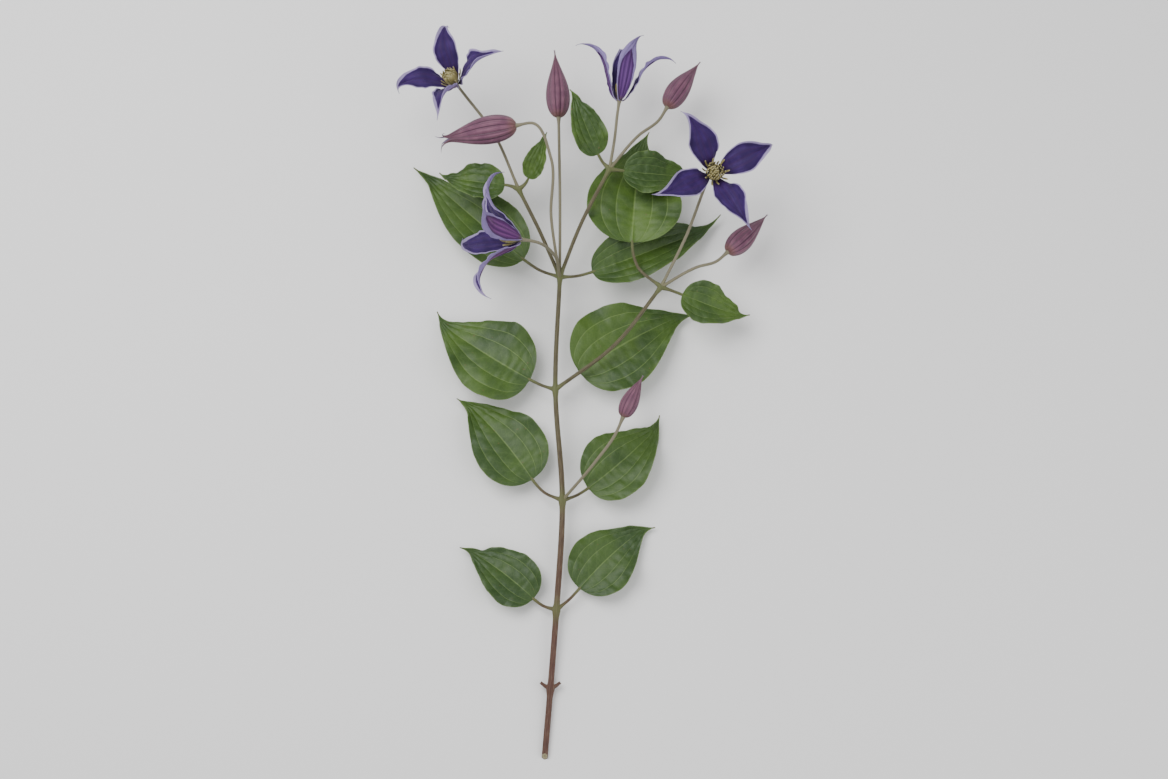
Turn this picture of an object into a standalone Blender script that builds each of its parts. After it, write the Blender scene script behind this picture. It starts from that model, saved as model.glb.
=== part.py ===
"""One cut clematis stem, lying on a flat surface.

A ribbed stalk with side shoots carries opposite ovate leaves, four blooms and five buds. Each bloom
has four tepals round a head of stamens. Units are metres and +Z is up. The stem lies along +Y, with
its cut end at -Y, and z = 0 is the surface that it lies on.
"""

import math
from dataclasses import dataclass

import bmesh
import bpy
from mathutils import Matrix, Vector

# Clearance between pieces that touch, and thickness of the blades
TOUCH = 0.0003
LEAF_THICKNESS = 0.0008
TEPAL_THICKNESS = 0.0007

# The stalk: its joints, where leaves and shoots leave it, and its thickness
STALK_RADIUS = 0.0023
TOP_RADIUS = 0.0017
SHOOT_RADIUS = 0.0014
PETIOLE_RADIUS = 0.0011
FLOWER_STALK_RADIUS = 0.0011
RECEPTACLE_RADIUS = 0.0012
RECEPTACLE_FLARE = 1.2
PETIOLE_FLARE = 1.2
JOINT_SWELL = 1.45
JOINT_STRETCH = 1.4
FLOWER_STALK_LEAD = 0.012
TUBE_STEP = 0.0065
STALK_STEP = 0.016

JOINTS = {
    "cut": Vector((-0.009, -0.245, 0.0020)),
    "bare": Vector((-0.005, -0.196, 0.0042)),
    "low": Vector((-0.001, -0.142, 0.0080)),
    "middle": Vector((0.003, -0.066, 0.0125)),
    "high": Vector((-0.002, 0.012, 0.0180)),
    "top": Vector((0.001, 0.092, 0.0250)),
    "right": Vector((0.072, 0.082, 0.0345)),
    "upper": Vector((0.036, 0.166, 0.0430)),
    "left": Vector((-0.028, 0.152, 0.0400)),
}
STALK_ROUTE = ("cut", "bare", "low", "middle", "high", "top")
SWOLLEN = ("low", "middle", "high", "top", "right", "upper", "left")

# Each side shoot ends in the joint of its name: the joint that it leaves, and a point on its way
SHOOTS = {
    "right": ("high", Vector((0.040, 0.042, 0.0290))),
    "upper": ("top", Vector((0.016, 0.128, 0.0360))),
    "left": ("top", Vector((-0.013, 0.122, 0.0360))),
}

# The outline of a blade: broadest at OUTLINE_PEAK of its length, rounded below and drawn out above
LEAF_PEAK = 0.31
TEPAL_PEAK = 0.42
BUD_PEAK = 0.30
LEAF_BASE_HALF_WIDTH = 0.0010
LEAF_TIP_HALF_WIDTH = 0.0003
CREASE = 0.0020
LEAF_WAVES = 2.3
PATH_STEPS = 48
ROW_CROWDING = 0.08

LEAF_ROWS, LEAF_COLUMNS = 10, 6
TEPAL_ROWS, TEPAL_COLUMNS = 8, 6

# A bud: three ribs on each of its four tepals
BUD_ROWS, BUD_SEGMENTS = 9, 24
BUD_RIBS = 12
BUD_RIB_DEPTH = 0.045
BUD_ROW_CROWDING = 1.15

# A bloom: four tepals in quarter turns, which stay inside their own quarter
TEPALS = 4
TEPAL_START = 0.0019
TEPAL_MARGIN = 0.00078
TEPAL_WEDGE = 0.80
TEPAL_HUG = 0.50
TEPAL_FLARE = 0.75
TEPAL_RIB = 0.00035
TEPAL_WAVES = 2.5

# The head of stamens in a bloom
STAMEN_SEAT = 0.0015
STAMEN_CORE = (0.0027, 0.0024)
STAMEN_ROWS, STAMEN_COLUMNS = 7, 12
STAMEN_TOP = 0.0135
STAMEN_SPREAD = 0.0035
STAMEN_TAPER = 0.62
STAMEN_UNEVENNESS = 0.08


@dataclass
class Leaf:
    """A leaf: the joint that it leaves, where its blade starts, and how it lies. Angles in degrees."""

    joint: str
    base: tuple
    heading: float
    pitch: tuple
    length: float
    width: float
    roll: float = 0.0
    fold: float = 12.0
    turn: float = 0.0
    wave: float = 0.0015
    phase: float = 0.0


@dataclass
class Bloom:
    """A bloom on its stalk. opening holds (share of the tepal, angle from the bloom's axis) pairs."""

    joint: str
    via: tuple
    base: tuple
    axis: tuple
    length: float
    width: float
    opening: tuple
    spin: float = 0.0
    twist: float = 0.0
    channel: float = 0.10
    wave: float = 0.0012
    spread: float = 6.0


@dataclass
class Bud:
    """A closed bud on its stalk, with the sideways bend of its tip."""

    joint: str
    via: tuple
    base: tuple
    axis: tuple
    length: float
    radius: float
    bend: float = 0.0
    spin: float = 0.0


LEAVES = {
    "leaf_low_left": Leaf(
        "low", (-0.017, -0.134, 0.007), 137, (8, -20), 0.064, 0.040, 20, 14, 12, 0.0012, 0.4,
    ),
    "leaf_low_right": Leaf(
        "low", (0.015, -0.127, 0.008), 50, (4, -16), 0.070, 0.046, -5, 12, -14, 0.0014, 1.9,
    ),
    "leaf_middle_left": Leaf(
        "middle", (-0.018, -0.051, 0.012), 124, (8, -26), 0.082, 0.052, 9, 10, 12, 0.0016, 2.6,
    ),
    "leaf_middle_right": Leaf(
        "middle", (0.021, -0.057, 0.011), 36, (6, -24), 0.076, 0.050, -20, 14, 16, 0.0016, 0.9,
    ),
    "leaf_high_left": Leaf(
        "high", (-0.020, 0.020, 0.015), 152, (6, -24), 0.086, 0.060, 14, 9, -14, 0.0018, 4.0,
    ),
    "leaf_high_right": Leaf(
        "high", (0.015, 0.025, 0.015), 36, (4, -20), 0.094, 0.064, -4, 10, -10, 0.0018, 5.2,
    ),
    "leaf_top_left": Leaf(
        "top", (-0.025, 0.107, 0.019), 139, (-3, -20), 0.110, 0.050, 8, 16, -6, 0.0016, 1.2,
    ),
    "leaf_top_right": Leaf(
        "top", (0.024, 0.097, 0.021), 20, (0, -24), 0.106, 0.042, -12, 24, 10, 0.0016, 3.1,
    ),
    "leaf_right_inner": Leaf(
        "right", (0.052, 0.116, 0.030), 88, (2, -22), 0.088, 0.068, 5, 8, -8, 0.0018, 0.2,
    ),
    "leaf_right_outer": Leaf(
        "right", (0.087, 0.077, 0.032), -22, (-4, -34), 0.052, 0.032, -8, 16, 14, 0.0010, 2.2,
    ),
    "leaf_upper_left": Leaf(
        "upper", (0.028, 0.176, 0.046), 118, (30, 4), 0.052, 0.026, 12, 20, -10, 0.0009, 1.0,
    ),
    "leaf_upper_right": Leaf(
        "upper", (0.046, 0.165, 0.042), -6, (-4, -34), 0.056, 0.033, -8, 18, 16, 0.0010, 2.8,
    ),
    "leaf_left_inner": Leaf(
        "left", (-0.021, 0.159, 0.044), 62, (32, 8), 0.036, 0.017, -12, 24, 10, 0.0006, 0.7,
    ),
    "leaf_left_outer": Leaf(
        "left", (-0.038, 0.155, 0.041), 176, (8, -32), 0.050, 0.028, 10, 18, -14, 0.0009, 1.6,
    ),
}

BLOOMS = {
    "nodding_bloom": Bloom(
        "top", ((-0.003, 0.102, 0.047),), (-0.026, 0.107, 0.066), (-0.95, 0.09, 0.24), 0.062, 0.021,
        ((0.0, 62), (0.08, 34), (0.32, 33), (0.60, 68), (0.80, 104), (1.0, 158)), 4, 14, 0.10, 0.0010, -10,
    ),
    "open_bloom": Bloom(
        "right", ((0.090, 0.118, 0.041),), (0.108, 0.157, 0.059), (0.16, -0.12, 0.98), 0.052, 0.025,
        ((0.0, 62), (0.10, 50), (0.35, 64), (0.70, 88), (1.0, 146)), 64, 22, 0.16, 0.0018, 8,
    ),
    "turned_bloom": Bloom(
        "left", ((-0.046, 0.192, 0.046),), (-0.072, 0.224, 0.058), (-0.42, 0.30, 0.86), 0.052, 0.021,
        ((0.0, 62), (0.10, 36), (0.35, 48), (0.70, 92), (1.0, 164)), 40, -26, 0.14, 0.0015, 8,
    ),
    "half_open_bloom": Bloom(
        "upper", ((0.040, 0.190, 0.047),), (0.043, 0.214, 0.052), (0.14, 0.97, 0.18), 0.055, 0.019,
        ((0.0, 62), (0.08, 25), (0.40, 16), (0.65, 38), (0.85, 74), (1.0, 116)), 12, 10, 0.06, 0.0008, -12,
    ),
}

BUDS = {
    "tall_bud": Bud(
        "top", ((0.001, 0.150, 0.034),), (0.000, 0.206, 0.039), (-0.02, 0.99, 0.06),
        0.050, 0.0086, 0.002,
    ),
    "upper_bud": Bud(
        "upper", ((0.057, 0.191, 0.044),), (0.077, 0.213, 0.041), (0.50, 0.86, -0.10),
        0.044, 0.0082, -0.003, 20,
    ),
    "side_bud": Bud(
        "right", ((0.098, 0.096, 0.037),), (0.119, 0.108, 0.033), (0.72, 0.66, -0.20),
        0.042, 0.0082, 0.003, 40,
    ),
    "nodding_bud": Bud(
        "top", ((-0.005, 0.130, 0.047), (-0.005, 0.166, 0.067)), (-0.029, 0.187, 0.075),
        (-0.95, -0.06, -0.22), 0.060, 0.0100, 0.004, 10,
    ),
    "small_bud": Bud(
        "middle", ((0.026, -0.042, 0.029),), (0.045, -0.012, 0.036), (0.40, 0.89, 0.20),
        0.032, 0.0064, -0.002, 55,
    ),
}

# The middle of the laid stem, which comes to stand over the origin
MIDDLE = Vector((0.0180, 0.0116, 0.0))

# Colours in linear light, with roughness: stalk, leaf, tepal, stamens, bud
FINISHES = {
    "stalk": ((0.115, 0.095, 0.045, 1.0), 0.65),
    "leaf": ((0.075, 0.165, 0.045, 1.0), 0.45),
    "tepal": ((0.110, 0.060, 0.300, 1.0), 0.55),
    "stamens": ((0.430, 0.400, 0.140, 1.0), 0.60),
    "bud": ((0.270, 0.090, 0.140, 1.0), 0.55),
}


def clear_scene():
    for obj in list(bpy.data.objects):
        bpy.data.objects.remove(obj, do_unlink=True)


def new_collection(name):
    collection = bpy.data.collections.new(name)
    bpy.context.scene.collection.children.link(collection)
    return collection


def finish(name):
    """The material of one kind of piece, made once."""
    found = bpy.data.materials.get(name)
    if found:
        return found
    colour, roughness = FINISHES[name]
    material = bpy.data.materials.new(name)
    material.use_nodes = True
    shader = material.node_tree.nodes["Principled BSDF"]
    shader.inputs["Base Color"].default_value = colour
    shader.inputs["Roughness"].default_value = roughness
    shader.inputs["Metallic"].default_value = 0.0
    return material


def outline(share, peak):
    """Half width of a blade, as a share of its greatest, at a share of its length from the base."""
    swell = math.sin(math.pi * share ** (math.log(0.5) / math.log(peak)))
    return max(swell, 0.0) ** (0.75 + 0.75 * share)


def crowd(share):
    """Rows of a blade lie closer together at its base and at its tip, where its outline curves most."""
    return share - ROW_CROWDING * math.sin(2 * math.pi * share)


def direction(pitch, turn):
    """The unit vector that climbs by pitch and is turned from +X by turn, both in radians."""
    return Vector((math.cos(pitch) * math.cos(turn), math.cos(pitch) * math.sin(turn), math.sin(pitch)))


def smooth_key(keys, share):
    """A value between (share, value) pairs, eased in and out of each pair."""
    for (low, before), (high, after) in zip(keys, keys[1:]):
        if share <= high:
            part = (share - low) / (high - low)
            part = part * part * (3 - 2 * part)
            return before + (after - before) * part
    return keys[-1][1]


def smooth_route(points, step=TUBE_STEP):
    """Points about a step apart on the smooth curve that goes through the given points."""
    spans = [(after - before).length for before, after in zip(points, points[1:])]
    slopes = [(after - before) / span for before, after, span in zip(points, points[1:], spans)]
    tangents = [slopes[0]]
    for i in range(1, len(points) - 1):
        tangents.append(slopes[i - 1].lerp(slopes[i], spans[i - 1] / (spans[i - 1] + spans[i])))
    tangents.append(slopes[-1])
    route = [points[0]]
    for i, span in enumerate(spans):
        count = max(1, round(span / step))
        for k in range(1, count + 1):
            t = k / count
            route.append(
                points[i] * (2 * t**3 - 3 * t**2 + 1)
                + points[i + 1] * (3 * t**2 - 2 * t**3)
                + tangents[i] * span * (t**3 - 2 * t**2 + t)
                + tangents[i + 1] * span * (t**3 - t**2)
            )
    return route


def tube(name, points, radii, collection):
    """A six-sided tube along the points as a closed mesh, its radius eased through the given radii."""
    curve = bpy.data.curves.new(name, "CURVE")
    curve.dimensions = "3D"
    curve.bevel_depth = 1.0
    curve.bevel_resolution = 1
    curve.use_fill_caps = True
    spline = curve.splines.new("POLY")
    spline.points.add(len(points) - 1)
    keys = [(i / (len(radii) - 1), r) for i, r in enumerate(radii)]
    for i, (point, target) in enumerate(zip(spline.points, points)):
        point.co = (*target, 1.0)
        point.radius = smooth_key(keys, i / (len(points) - 1))
    source = bpy.data.objects.new(name + "_route", curve)
    collection.objects.link(source)
    bpy.context.view_layer.update()
    graph = bpy.context.evaluated_depsgraph_get()
    mesh = bpy.data.meshes.new_from_object(source.evaluated_get(graph))
    obj = bpy.data.objects.new(name, mesh)
    obj.matrix_world = source.matrix_world.copy()
    collection.objects.link(obj)
    bpy.data.objects.remove(source, do_unlink=True)
    weld(mesh)
    return obj


def weld(mesh):
    """Joins points that lie together, and turns every face outwards."""
    shape = bmesh.new()
    shape.from_mesh(mesh)
    bmesh.ops.remove_doubles(shape, verts=shape.verts, dist=1e-6)
    bmesh.ops.recalc_face_normals(shape, faces=shape.faces)
    shape.to_mesh(mesh)
    shape.free()


def swelling(name, centre, along, radius, collection):
    """The thickened joint that leaves and shoots grow from."""
    bpy.ops.mesh.primitive_uv_sphere_add(segments=8, ring_count=6, radius=radius, location=centre)
    obj = bpy.context.object
    obj.name = name
    obj.scale = (1.0, 1.0, JOINT_STRETCH)
    obj.rotation_euler = along.to_track_quat("Z", "Y").to_euler()
    for owner in list(obj.users_collection):
        owner.objects.unlink(obj)
    collection.objects.link(obj)
    bpy.context.view_layer.update()
    obj.data.transform(obj.matrix_world)
    obj.matrix_world = Matrix.Identity(4)
    return obj


def petiole_route(leaf):
    """From the joint to just short of the blade, arriving in the blade's own direction."""
    start = JOINTS[leaf.joint]
    along = direction(math.radians(leaf.pitch[0]), math.radians(leaf.heading))
    end = Vector(leaf.base) - along * TOUCH
    reach = (end - start).length
    middle = end - along * reach * 0.45
    return smooth_route([start, middle.lerp((start + end) / 2, 0.4), end], reach / 3)


def flower_route(flower, past):
    """From the joint through the given points to the flower's base, and on along its axis by a little."""
    base, axis = Vector(flower.base), Vector(flower.axis).normalized()
    lead = [base - axis * FLOWER_STALK_LEAD, base + axis * past]
    return smooth_route([JOINTS[flower.joint], *(Vector(p) for p in flower.via), *lead])


def build_stalk(parts):
    """The stalk with its side shoots, leaf stalks and flower stalks, which grew as one piece."""
    shoots = new_collection("shoots")
    stalk_points = smooth_route([JOINTS[name] for name in STALK_ROUTE], STALK_STEP)
    stalk = tube("stalk", stalk_points, (STALK_RADIUS, STALK_RADIUS, TOP_RADIUS), parts)
    for name, (start, via) in SHOOTS.items():
        points = smooth_route([JOINTS[start], via, JOINTS[name]])
        tube("shoot_" + name, points, (SHOOT_RADIUS, SHOOT_RADIUS), shoots)
    for name, leaf in LEAVES.items():
        radii = (PETIOLE_RADIUS * PETIOLE_FLARE, PETIOLE_RADIUS, PETIOLE_RADIUS)
        tube(name + "_petiole", petiole_route(leaf), radii, shoots)
    slender = (FLOWER_STALK_RADIUS,) * 4
    for name, bloom in BLOOMS.items():
        radii = (*slender, RECEPTACLE_RADIUS)
        tube(name + "_stalk", flower_route(bloom, STAMEN_SEAT - TOUCH), radii, shoots)
    for name, bud in BUDS.items():
        radii = (*slender, RECEPTACLE_RADIUS * RECEPTACLE_FLARE)
        tube(name + "_stalk", flower_route(bud, -TOUCH), radii, shoots)
    for name in SWOLLEN:
        on_stalk = name in STALK_ROUTE
        radius = (TOP_RADIUS if on_stalk else SHOOT_RADIUS) * JOINT_SWELL
        before = STALK_ROUTE[STALK_ROUTE.index(name) - 1] if on_stalk else SHOOTS[name][0]
        swelling("joint_" + name, JOINTS[name], JOINTS[name] - JOINTS[before], radius, shoots)
    join = stalk.modifiers.new("grown together", "BOOLEAN")
    join.operation = "UNION"
    join.operand_type = "COLLECTION"
    join.collection = shoots
    bpy.context.view_layer.update()
    graph = bpy.context.evaluated_depsgraph_get()
    joined = bpy.data.meshes.new_from_object(stalk.evaluated_get(graph))
    stalk.modifiers.clear()
    stalk.data = joined
    for obj in list(shoots.objects):
        bpy.data.objects.remove(obj, do_unlink=True)
    bpy.data.collections.remove(shoots)
    for vertex in joined.vertices:
        vertex.co.z = max(vertex.co.z, 0.0)
    dress(stalk, "stalk")
    return stalk


def dress(obj, finish_name):
    obj.data.materials.clear()
    obj.data.materials.append(finish(finish_name))
    obj.data.shade_smooth()
    obj.data.set_sharp_from_angle(angle=math.radians(50))


def blade(name, rows, columns, surface, thickness, finish_name, parts):
    """A thin blade: a grid laid over surface(row, across), split in triangles and thickened."""
    mesh = bpy.data.meshes.new(name)
    shape = bmesh.new()
    bmesh.ops.create_grid(shape, x_segments=rows, y_segments=columns, size=0.5)
    for vertex in shape.verts:
        vertex.co = surface(vertex.co.x + 0.5, 2 * vertex.co.y)
    bmesh.ops.triangulate(shape, faces=shape.faces)
    shape.to_mesh(mesh)
    shape.free()
    obj = bpy.data.objects.new(name, mesh)
    parts.objects.link(obj)
    shell = obj.modifiers.new("thickness", "SOLIDIFY")
    shell.thickness = thickness
    shell.offset = 0.0
    dress(obj, finish_name)
    return obj


def leaf_surface(leaf):
    """The middle surface of a leaf blade in its own frame: along its heading from its base, x outwards."""

    def pitch_at(share):
        return math.radians(leaf.pitch[0] + (leaf.pitch[1] - leaf.pitch[0]) * share)

    def midrib(share):
        point = Vector()
        step = leaf.length * share / PATH_STEPS
        for i in range(PATH_STEPS):
            part = share * (i + 0.5) / PATH_STEPS
            point += step * direction(pitch_at(part), math.radians(leaf.turn * part))
        return point

    def surface(row, across):
        share = crowd(row)
        pitch, turn = pitch_at(share), math.radians(leaf.turn * share)
        along = direction(pitch, turn)
        side = Vector((-math.sin(turn), math.cos(turn), 0.0))
        up = along.cross(side)
        lean = Matrix.Rotation(math.radians(leaf.roll) * share, 3, along)
        side, up = lean @ side, lean @ up
        tapered = LEAF_BASE_HALF_WIDTH + (LEAF_TIP_HALF_WIDTH - LEAF_BASE_HALF_WIDTH) * share
        reach = across * max(0.5 * leaf.width * outline(share, LEAF_PEAK), tapered)
        fold = math.radians(leaf.fold)
        rise = (math.hypot(reach, CREASE) - CREASE) * math.sin(fold)
        swing = 2 * math.pi * LEAF_WAVES * share + leaf.phase + 1.1 * across
        ripple = leaf.wave * across**2 * math.sin(swing)
        rise += ripple * min(1.0, 6 * share) * min(1.0, 5 * (1 - share))
        point = midrib(share) + side * reach * math.cos(fold) + up * rise
        # Where the blade meets the surface under it, it is pressed flat
        point.z = max(point.z, LEAF_THICKNESS / 2 - leaf.base[2])
        return point

    return surface


def build_leaf(name, leaf, parts):
    obj = blade(name, LEAF_ROWS, LEAF_COLUMNS, leaf_surface(leaf), LEAF_THICKNESS, "leaf", parts)
    obj.location = leaf.base
    obj.rotation_euler = (0.0, 0.0, math.radians(leaf.heading))
    return obj


def tepal_surface(bloom, number):
    """The middle surface of one tepal before its quarter turn: z along the bloom's axis, x outwards."""
    sign = 1 if number % 2 else -1
    keys = [(share, angle + sign * bloom.spread * share) for share, angle in bloom.opening]

    def angle_at(share):
        return math.radians(smooth_key(keys, share))

    def middle(share):
        point = Vector((TEPAL_START, 0.0, 0.0))
        step = bloom.length * share / PATH_STEPS
        for i in range(PATH_STEPS):
            angle = angle_at(share * (i + 0.5) / PATH_STEPS)
            point += step * Vector((math.sin(angle), 0.0, math.cos(angle)))
        return point

    def surface(row, across):
        share = crowd(row)
        centre, angle = middle(share), angle_at(share)
        along = Vector((math.sin(angle), 0.0, math.cos(angle)))
        outward = Vector((math.cos(angle), 0.0, -math.sin(angle)))
        lean = Matrix.Rotation(math.radians(bloom.twist * sign) * share**2, 3, along)
        side, outward = lean @ Vector((0.0, 1.0, 0.0)), lean @ outward
        # The blade keeps inside its quarter, and what is wider turns outwards at the margins
        room = max(TEPAL_WEDGE * centre.x - TEPAL_MARGIN, 0.0006)
        wanted = across * max(0.5 * bloom.width * outline(share, TEPAL_PEAK), LEAF_TIP_HALF_WIDTH)
        reach = room * math.tanh(wanted / room)
        rise = TEPAL_FLARE * (abs(wanted) - abs(reach)) - TEPAL_HUG * reach**2 / (2 * centre.x)
        rise -= bloom.channel * math.sin(angle) * abs(reach) * abs(across)
        rise += TEPAL_RIB * math.cos(3 * math.pi * across) * min(1.0, 4 * share) * min(1.0, 3 * (1 - share))
        swing = 2 * math.pi * TEPAL_WAVES * share + 2.1 * number + across
        ripple = bloom.wave * across**2 * math.sin(swing)
        rise += ripple * math.sin(angle) * min(1.0, 3 * (1 - share))
        return centre + side * reach + outward * rise

    return surface


def build_bloom(name, bloom, parts):
    """An empty at the bloom's base holds four tepals in quarter turns and the head of stamens."""
    axis = Vector(bloom.axis).normalized()
    frame = bpy.data.objects.new(name, None)
    frame.location = bloom.base
    frame.rotation_euler = axis.to_track_quat("Z", "Y").to_euler()
    parts.objects.link(frame)
    for number in range(TEPALS):
        tepal = blade(
            f"{name}_tepal_{number + 1}", TEPAL_ROWS, TEPAL_COLUMNS, tepal_surface(bloom, number),
            TEPAL_THICKNESS, "tepal", parts,
        )
        tepal.parent = frame
        tepal.rotation_euler = (0.0, 0.0, math.radians(bloom.spin + 360 / TEPALS * number))
    stamens = build_stamens(name + "_stamens", parts)
    stamens.parent = frame


def build_stamens(name, parts):
    """A head of stamens: a small round core whose upper faces are drawn out into filaments."""
    mesh = bpy.data.meshes.new(name)
    shape = bmesh.new()
    bmesh.ops.create_uvsphere(shape, u_segments=STAMEN_COLUMNS, v_segments=STAMEN_ROWS, radius=1.0)
    for vertex in shape.verts:
        vertex.co.x *= STAMEN_CORE[0]
        vertex.co.y *= STAMEN_CORE[0]
        vertex.co.z = STAMEN_SEAT + STAMEN_CORE[1] * (1 + vertex.co.z)
    shape.normal_update()
    upper = [face for face in shape.faces if face.normal.z > 0.05 and len(face.verts) == 4]
    drawn = bmesh.ops.extrude_discrete_faces(shape, faces=upper)["faces"]
    for number, face in enumerate(drawn):
        centre = face.calc_center_median()
        along = (centre - Vector((0.0, 0.0, -STAMEN_SPREAD))).normalized()
        end = centre + along * (STAMEN_TOP * (1 + STAMEN_UNEVENNESS * math.sin(2.4 * number)) - centre.z)
        for vertex in face.verts:
            vertex.co = end + (vertex.co - centre) * STAMEN_TAPER
    shape.to_mesh(mesh)
    shape.free()
    head = bpy.data.objects.new(name, mesh)
    parts.objects.link(head)
    dress(head, "stamens")
    return head


def build_bud(name, bud, parts):
    """A closed bud: a turned shape with three ribs on each of its four tepals, drawn out to a tip."""
    mesh = bpy.data.meshes.new(name)
    shape = bmesh.new()
    bmesh.ops.create_uvsphere(shape, u_segments=BUD_SEGMENTS, v_segments=BUD_ROWS, radius=1.0)
    for vertex in shape.verts:
        # Rings crowd towards the base, where the bud is roundest
        share = (1 - math.acos(max(-1.0, min(1.0, vertex.co.z))) / math.pi) ** BUD_ROW_CROWDING
        turn = math.atan2(vertex.co.y, vertex.co.x)
        on_axis = math.hypot(vertex.co.x, vertex.co.y) < 1e-6
        width = bud.radius * outline(share, BUD_PEAK)
        width *= 1 - BUD_RIB_DEPTH * (1 - math.cos(BUD_RIBS * turn))
        sway = bud.bend * share**2
        if on_axis:
            vertex.co = (sway, 0.0, bud.length * share)
        else:
            vertex.co = (sway + width * math.cos(turn), width * math.sin(turn), bud.length * share)
    shape.to_mesh(mesh)
    shape.free()
    obj = bpy.data.objects.new(name, mesh)
    parts.objects.link(obj)
    spin = Matrix.Rotation(math.radians(bud.spin), 3, "Z").to_quaternion()
    obj.location = bud.base
    obj.rotation_euler = (Vector(bud.axis).normalized().to_track_quat("Z", "Y") @ spin).to_euler()
    dress(obj, "bud")
    return obj


def main():
    clear_scene()
    parts = new_collection("clematis")
    build_stalk(parts)
    for name, leaf in LEAVES.items():
        build_leaf(name, leaf, parts)
    for name, bloom in BLOOMS.items():
        build_bloom(name, bloom, parts)
    for name, bud in BUDS.items():
        build_bud(name, bud, parts)
    for obj in parts.objects:
        if obj.parent is None:
            obj.location -= MIDDLE


main()
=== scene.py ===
"""A cut clematis stem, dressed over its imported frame.

The stem lies on a pale floor with its cut end towards the viewer. Each leaf, tepal, head of stamens,
bud and length of stalk is laid out by the same formulas as its solid, at a finer grain, and then gets
its nerves, ribs, seams, crimped margins and felt. Lengths are metres, and angles are degrees.
"""

from __future__ import annotations

import logging
import math
import random
from dataclasses import dataclass, field
from enum import Enum
from typing import Any, Callable

import bpy
from mathutils import Matrix, Vector, noise

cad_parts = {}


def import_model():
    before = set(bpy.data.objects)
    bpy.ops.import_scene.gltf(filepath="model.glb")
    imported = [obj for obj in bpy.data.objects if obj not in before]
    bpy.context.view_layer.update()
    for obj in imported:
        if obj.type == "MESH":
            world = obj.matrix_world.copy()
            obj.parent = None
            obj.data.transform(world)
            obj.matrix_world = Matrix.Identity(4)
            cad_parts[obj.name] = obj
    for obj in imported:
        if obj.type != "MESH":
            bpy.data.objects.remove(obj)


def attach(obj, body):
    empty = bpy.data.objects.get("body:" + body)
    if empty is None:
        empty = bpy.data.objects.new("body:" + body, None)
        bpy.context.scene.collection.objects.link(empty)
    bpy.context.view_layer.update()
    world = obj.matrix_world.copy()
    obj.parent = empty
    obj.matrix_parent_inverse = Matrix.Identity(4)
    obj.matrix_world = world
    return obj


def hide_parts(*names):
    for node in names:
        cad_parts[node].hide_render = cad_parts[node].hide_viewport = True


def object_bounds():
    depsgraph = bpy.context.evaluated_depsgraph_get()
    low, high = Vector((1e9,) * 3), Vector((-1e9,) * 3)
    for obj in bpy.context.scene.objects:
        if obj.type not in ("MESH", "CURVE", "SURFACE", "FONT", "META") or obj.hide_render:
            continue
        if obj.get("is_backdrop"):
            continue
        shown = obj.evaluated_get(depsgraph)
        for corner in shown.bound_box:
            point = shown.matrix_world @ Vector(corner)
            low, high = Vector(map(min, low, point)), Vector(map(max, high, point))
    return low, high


LOG = logging.getLogger("clematis")

Colour = tuple[float, float, float]
Point = tuple[float, float, float]
Span = tuple[float, float]
Socket = bpy.types.NodeSocket
Piece = bpy.types.Object
Material = bpy.types.Material
Surface = Callable[[float, float], Vector]
Width = Callable[[float, float], float]

# The middle of the laid stem, which stands over the origin
MIDDLE = Vector((0.0180, 0.0116, 0.0))

# Clearance between pieces that touch in the solids
TOUCH = 0.0003

# How far apart the points of a stalk's middle line are
ROUTE_STEP = 0.0012

# How slender the outline of a blade is
OUTLINE_POWER = 0.75

# How far the rows of a blade are drawn towards its base and tip
ROW_CROWDING = 0.08

# Faces that meet at a smaller angle than this look like one surface
SMOOTH_ANGLE = 48.0

# How far the streaks shift from the first piece of a kind to the last
STREAK_SHIFT = 7.0

# The corners of a grid's face, where the face of a cut has more
GRID_CORNERS = 4

JOINTS: dict[str, Vector] = {
    "cut": Vector((-0.009, -0.245, 0.0020)),
    "bare": Vector((-0.005, -0.196, 0.0042)),
    "low": Vector((-0.001, -0.142, 0.0080)),
    "middle": Vector((0.003, -0.066, 0.0125)),
    "high": Vector((-0.002, 0.012, 0.0180)),
    "top": Vector((0.001, 0.092, 0.0250)),
    "right": Vector((0.072, 0.082, 0.0345)),
    "upper": Vector((0.036, 0.166, 0.0430)),
    "left": Vector((-0.028, 0.152, 0.0400)),
}
STALK_ROUTE = ("cut", "bare", "low", "middle", "high", "top")
SHOOTS: dict[str, tuple[str, Point]] = {
    "right": ("high", (0.040, 0.042, 0.0290)),
    "upper": ("top", (0.016, 0.128, 0.0360)),
    "left": ("top", (-0.013, 0.122, 0.0360)),
}
# The joints that carry leaves, and are greener than the stalk between them
HUBS = ("low", "middle", "high", "top", "right", "upper", "left")


class Side(Enum):
    """The two faces of a blade, as its "side" attribute marks them."""

    INNER = 0.0
    OUTER = 1.0


def deselect() -> None:
    """Leaves nothing selected and nothing active."""
    bpy.ops.object.select_all(action="DESELECT")
    bpy.context.view_layer.objects.active = None


def activate(piece: Piece) -> None:
    """Makes a piece the only selected and the active object.

    Args:
        piece: The piece.
    """
    deselect()
    piece.select_set(True)
    bpy.context.view_layer.objects.active = piece


def join_all(name: str, pieces: list[Piece]) -> Piece:
    """Joins pieces to one.

    Args:
        name: The name of the whole.
        pieces: The pieces to join.

    Returns:
        The whole.
    """
    deselect()
    for piece in pieces:
        piece.select_set(True)
    bpy.context.view_layer.objects.active = pieces[0]
    if len(pieces) > 1:
        bpy.ops.object.join()
    whole = bpy.context.view_layer.objects.active
    whole.name = name
    return whole


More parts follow.
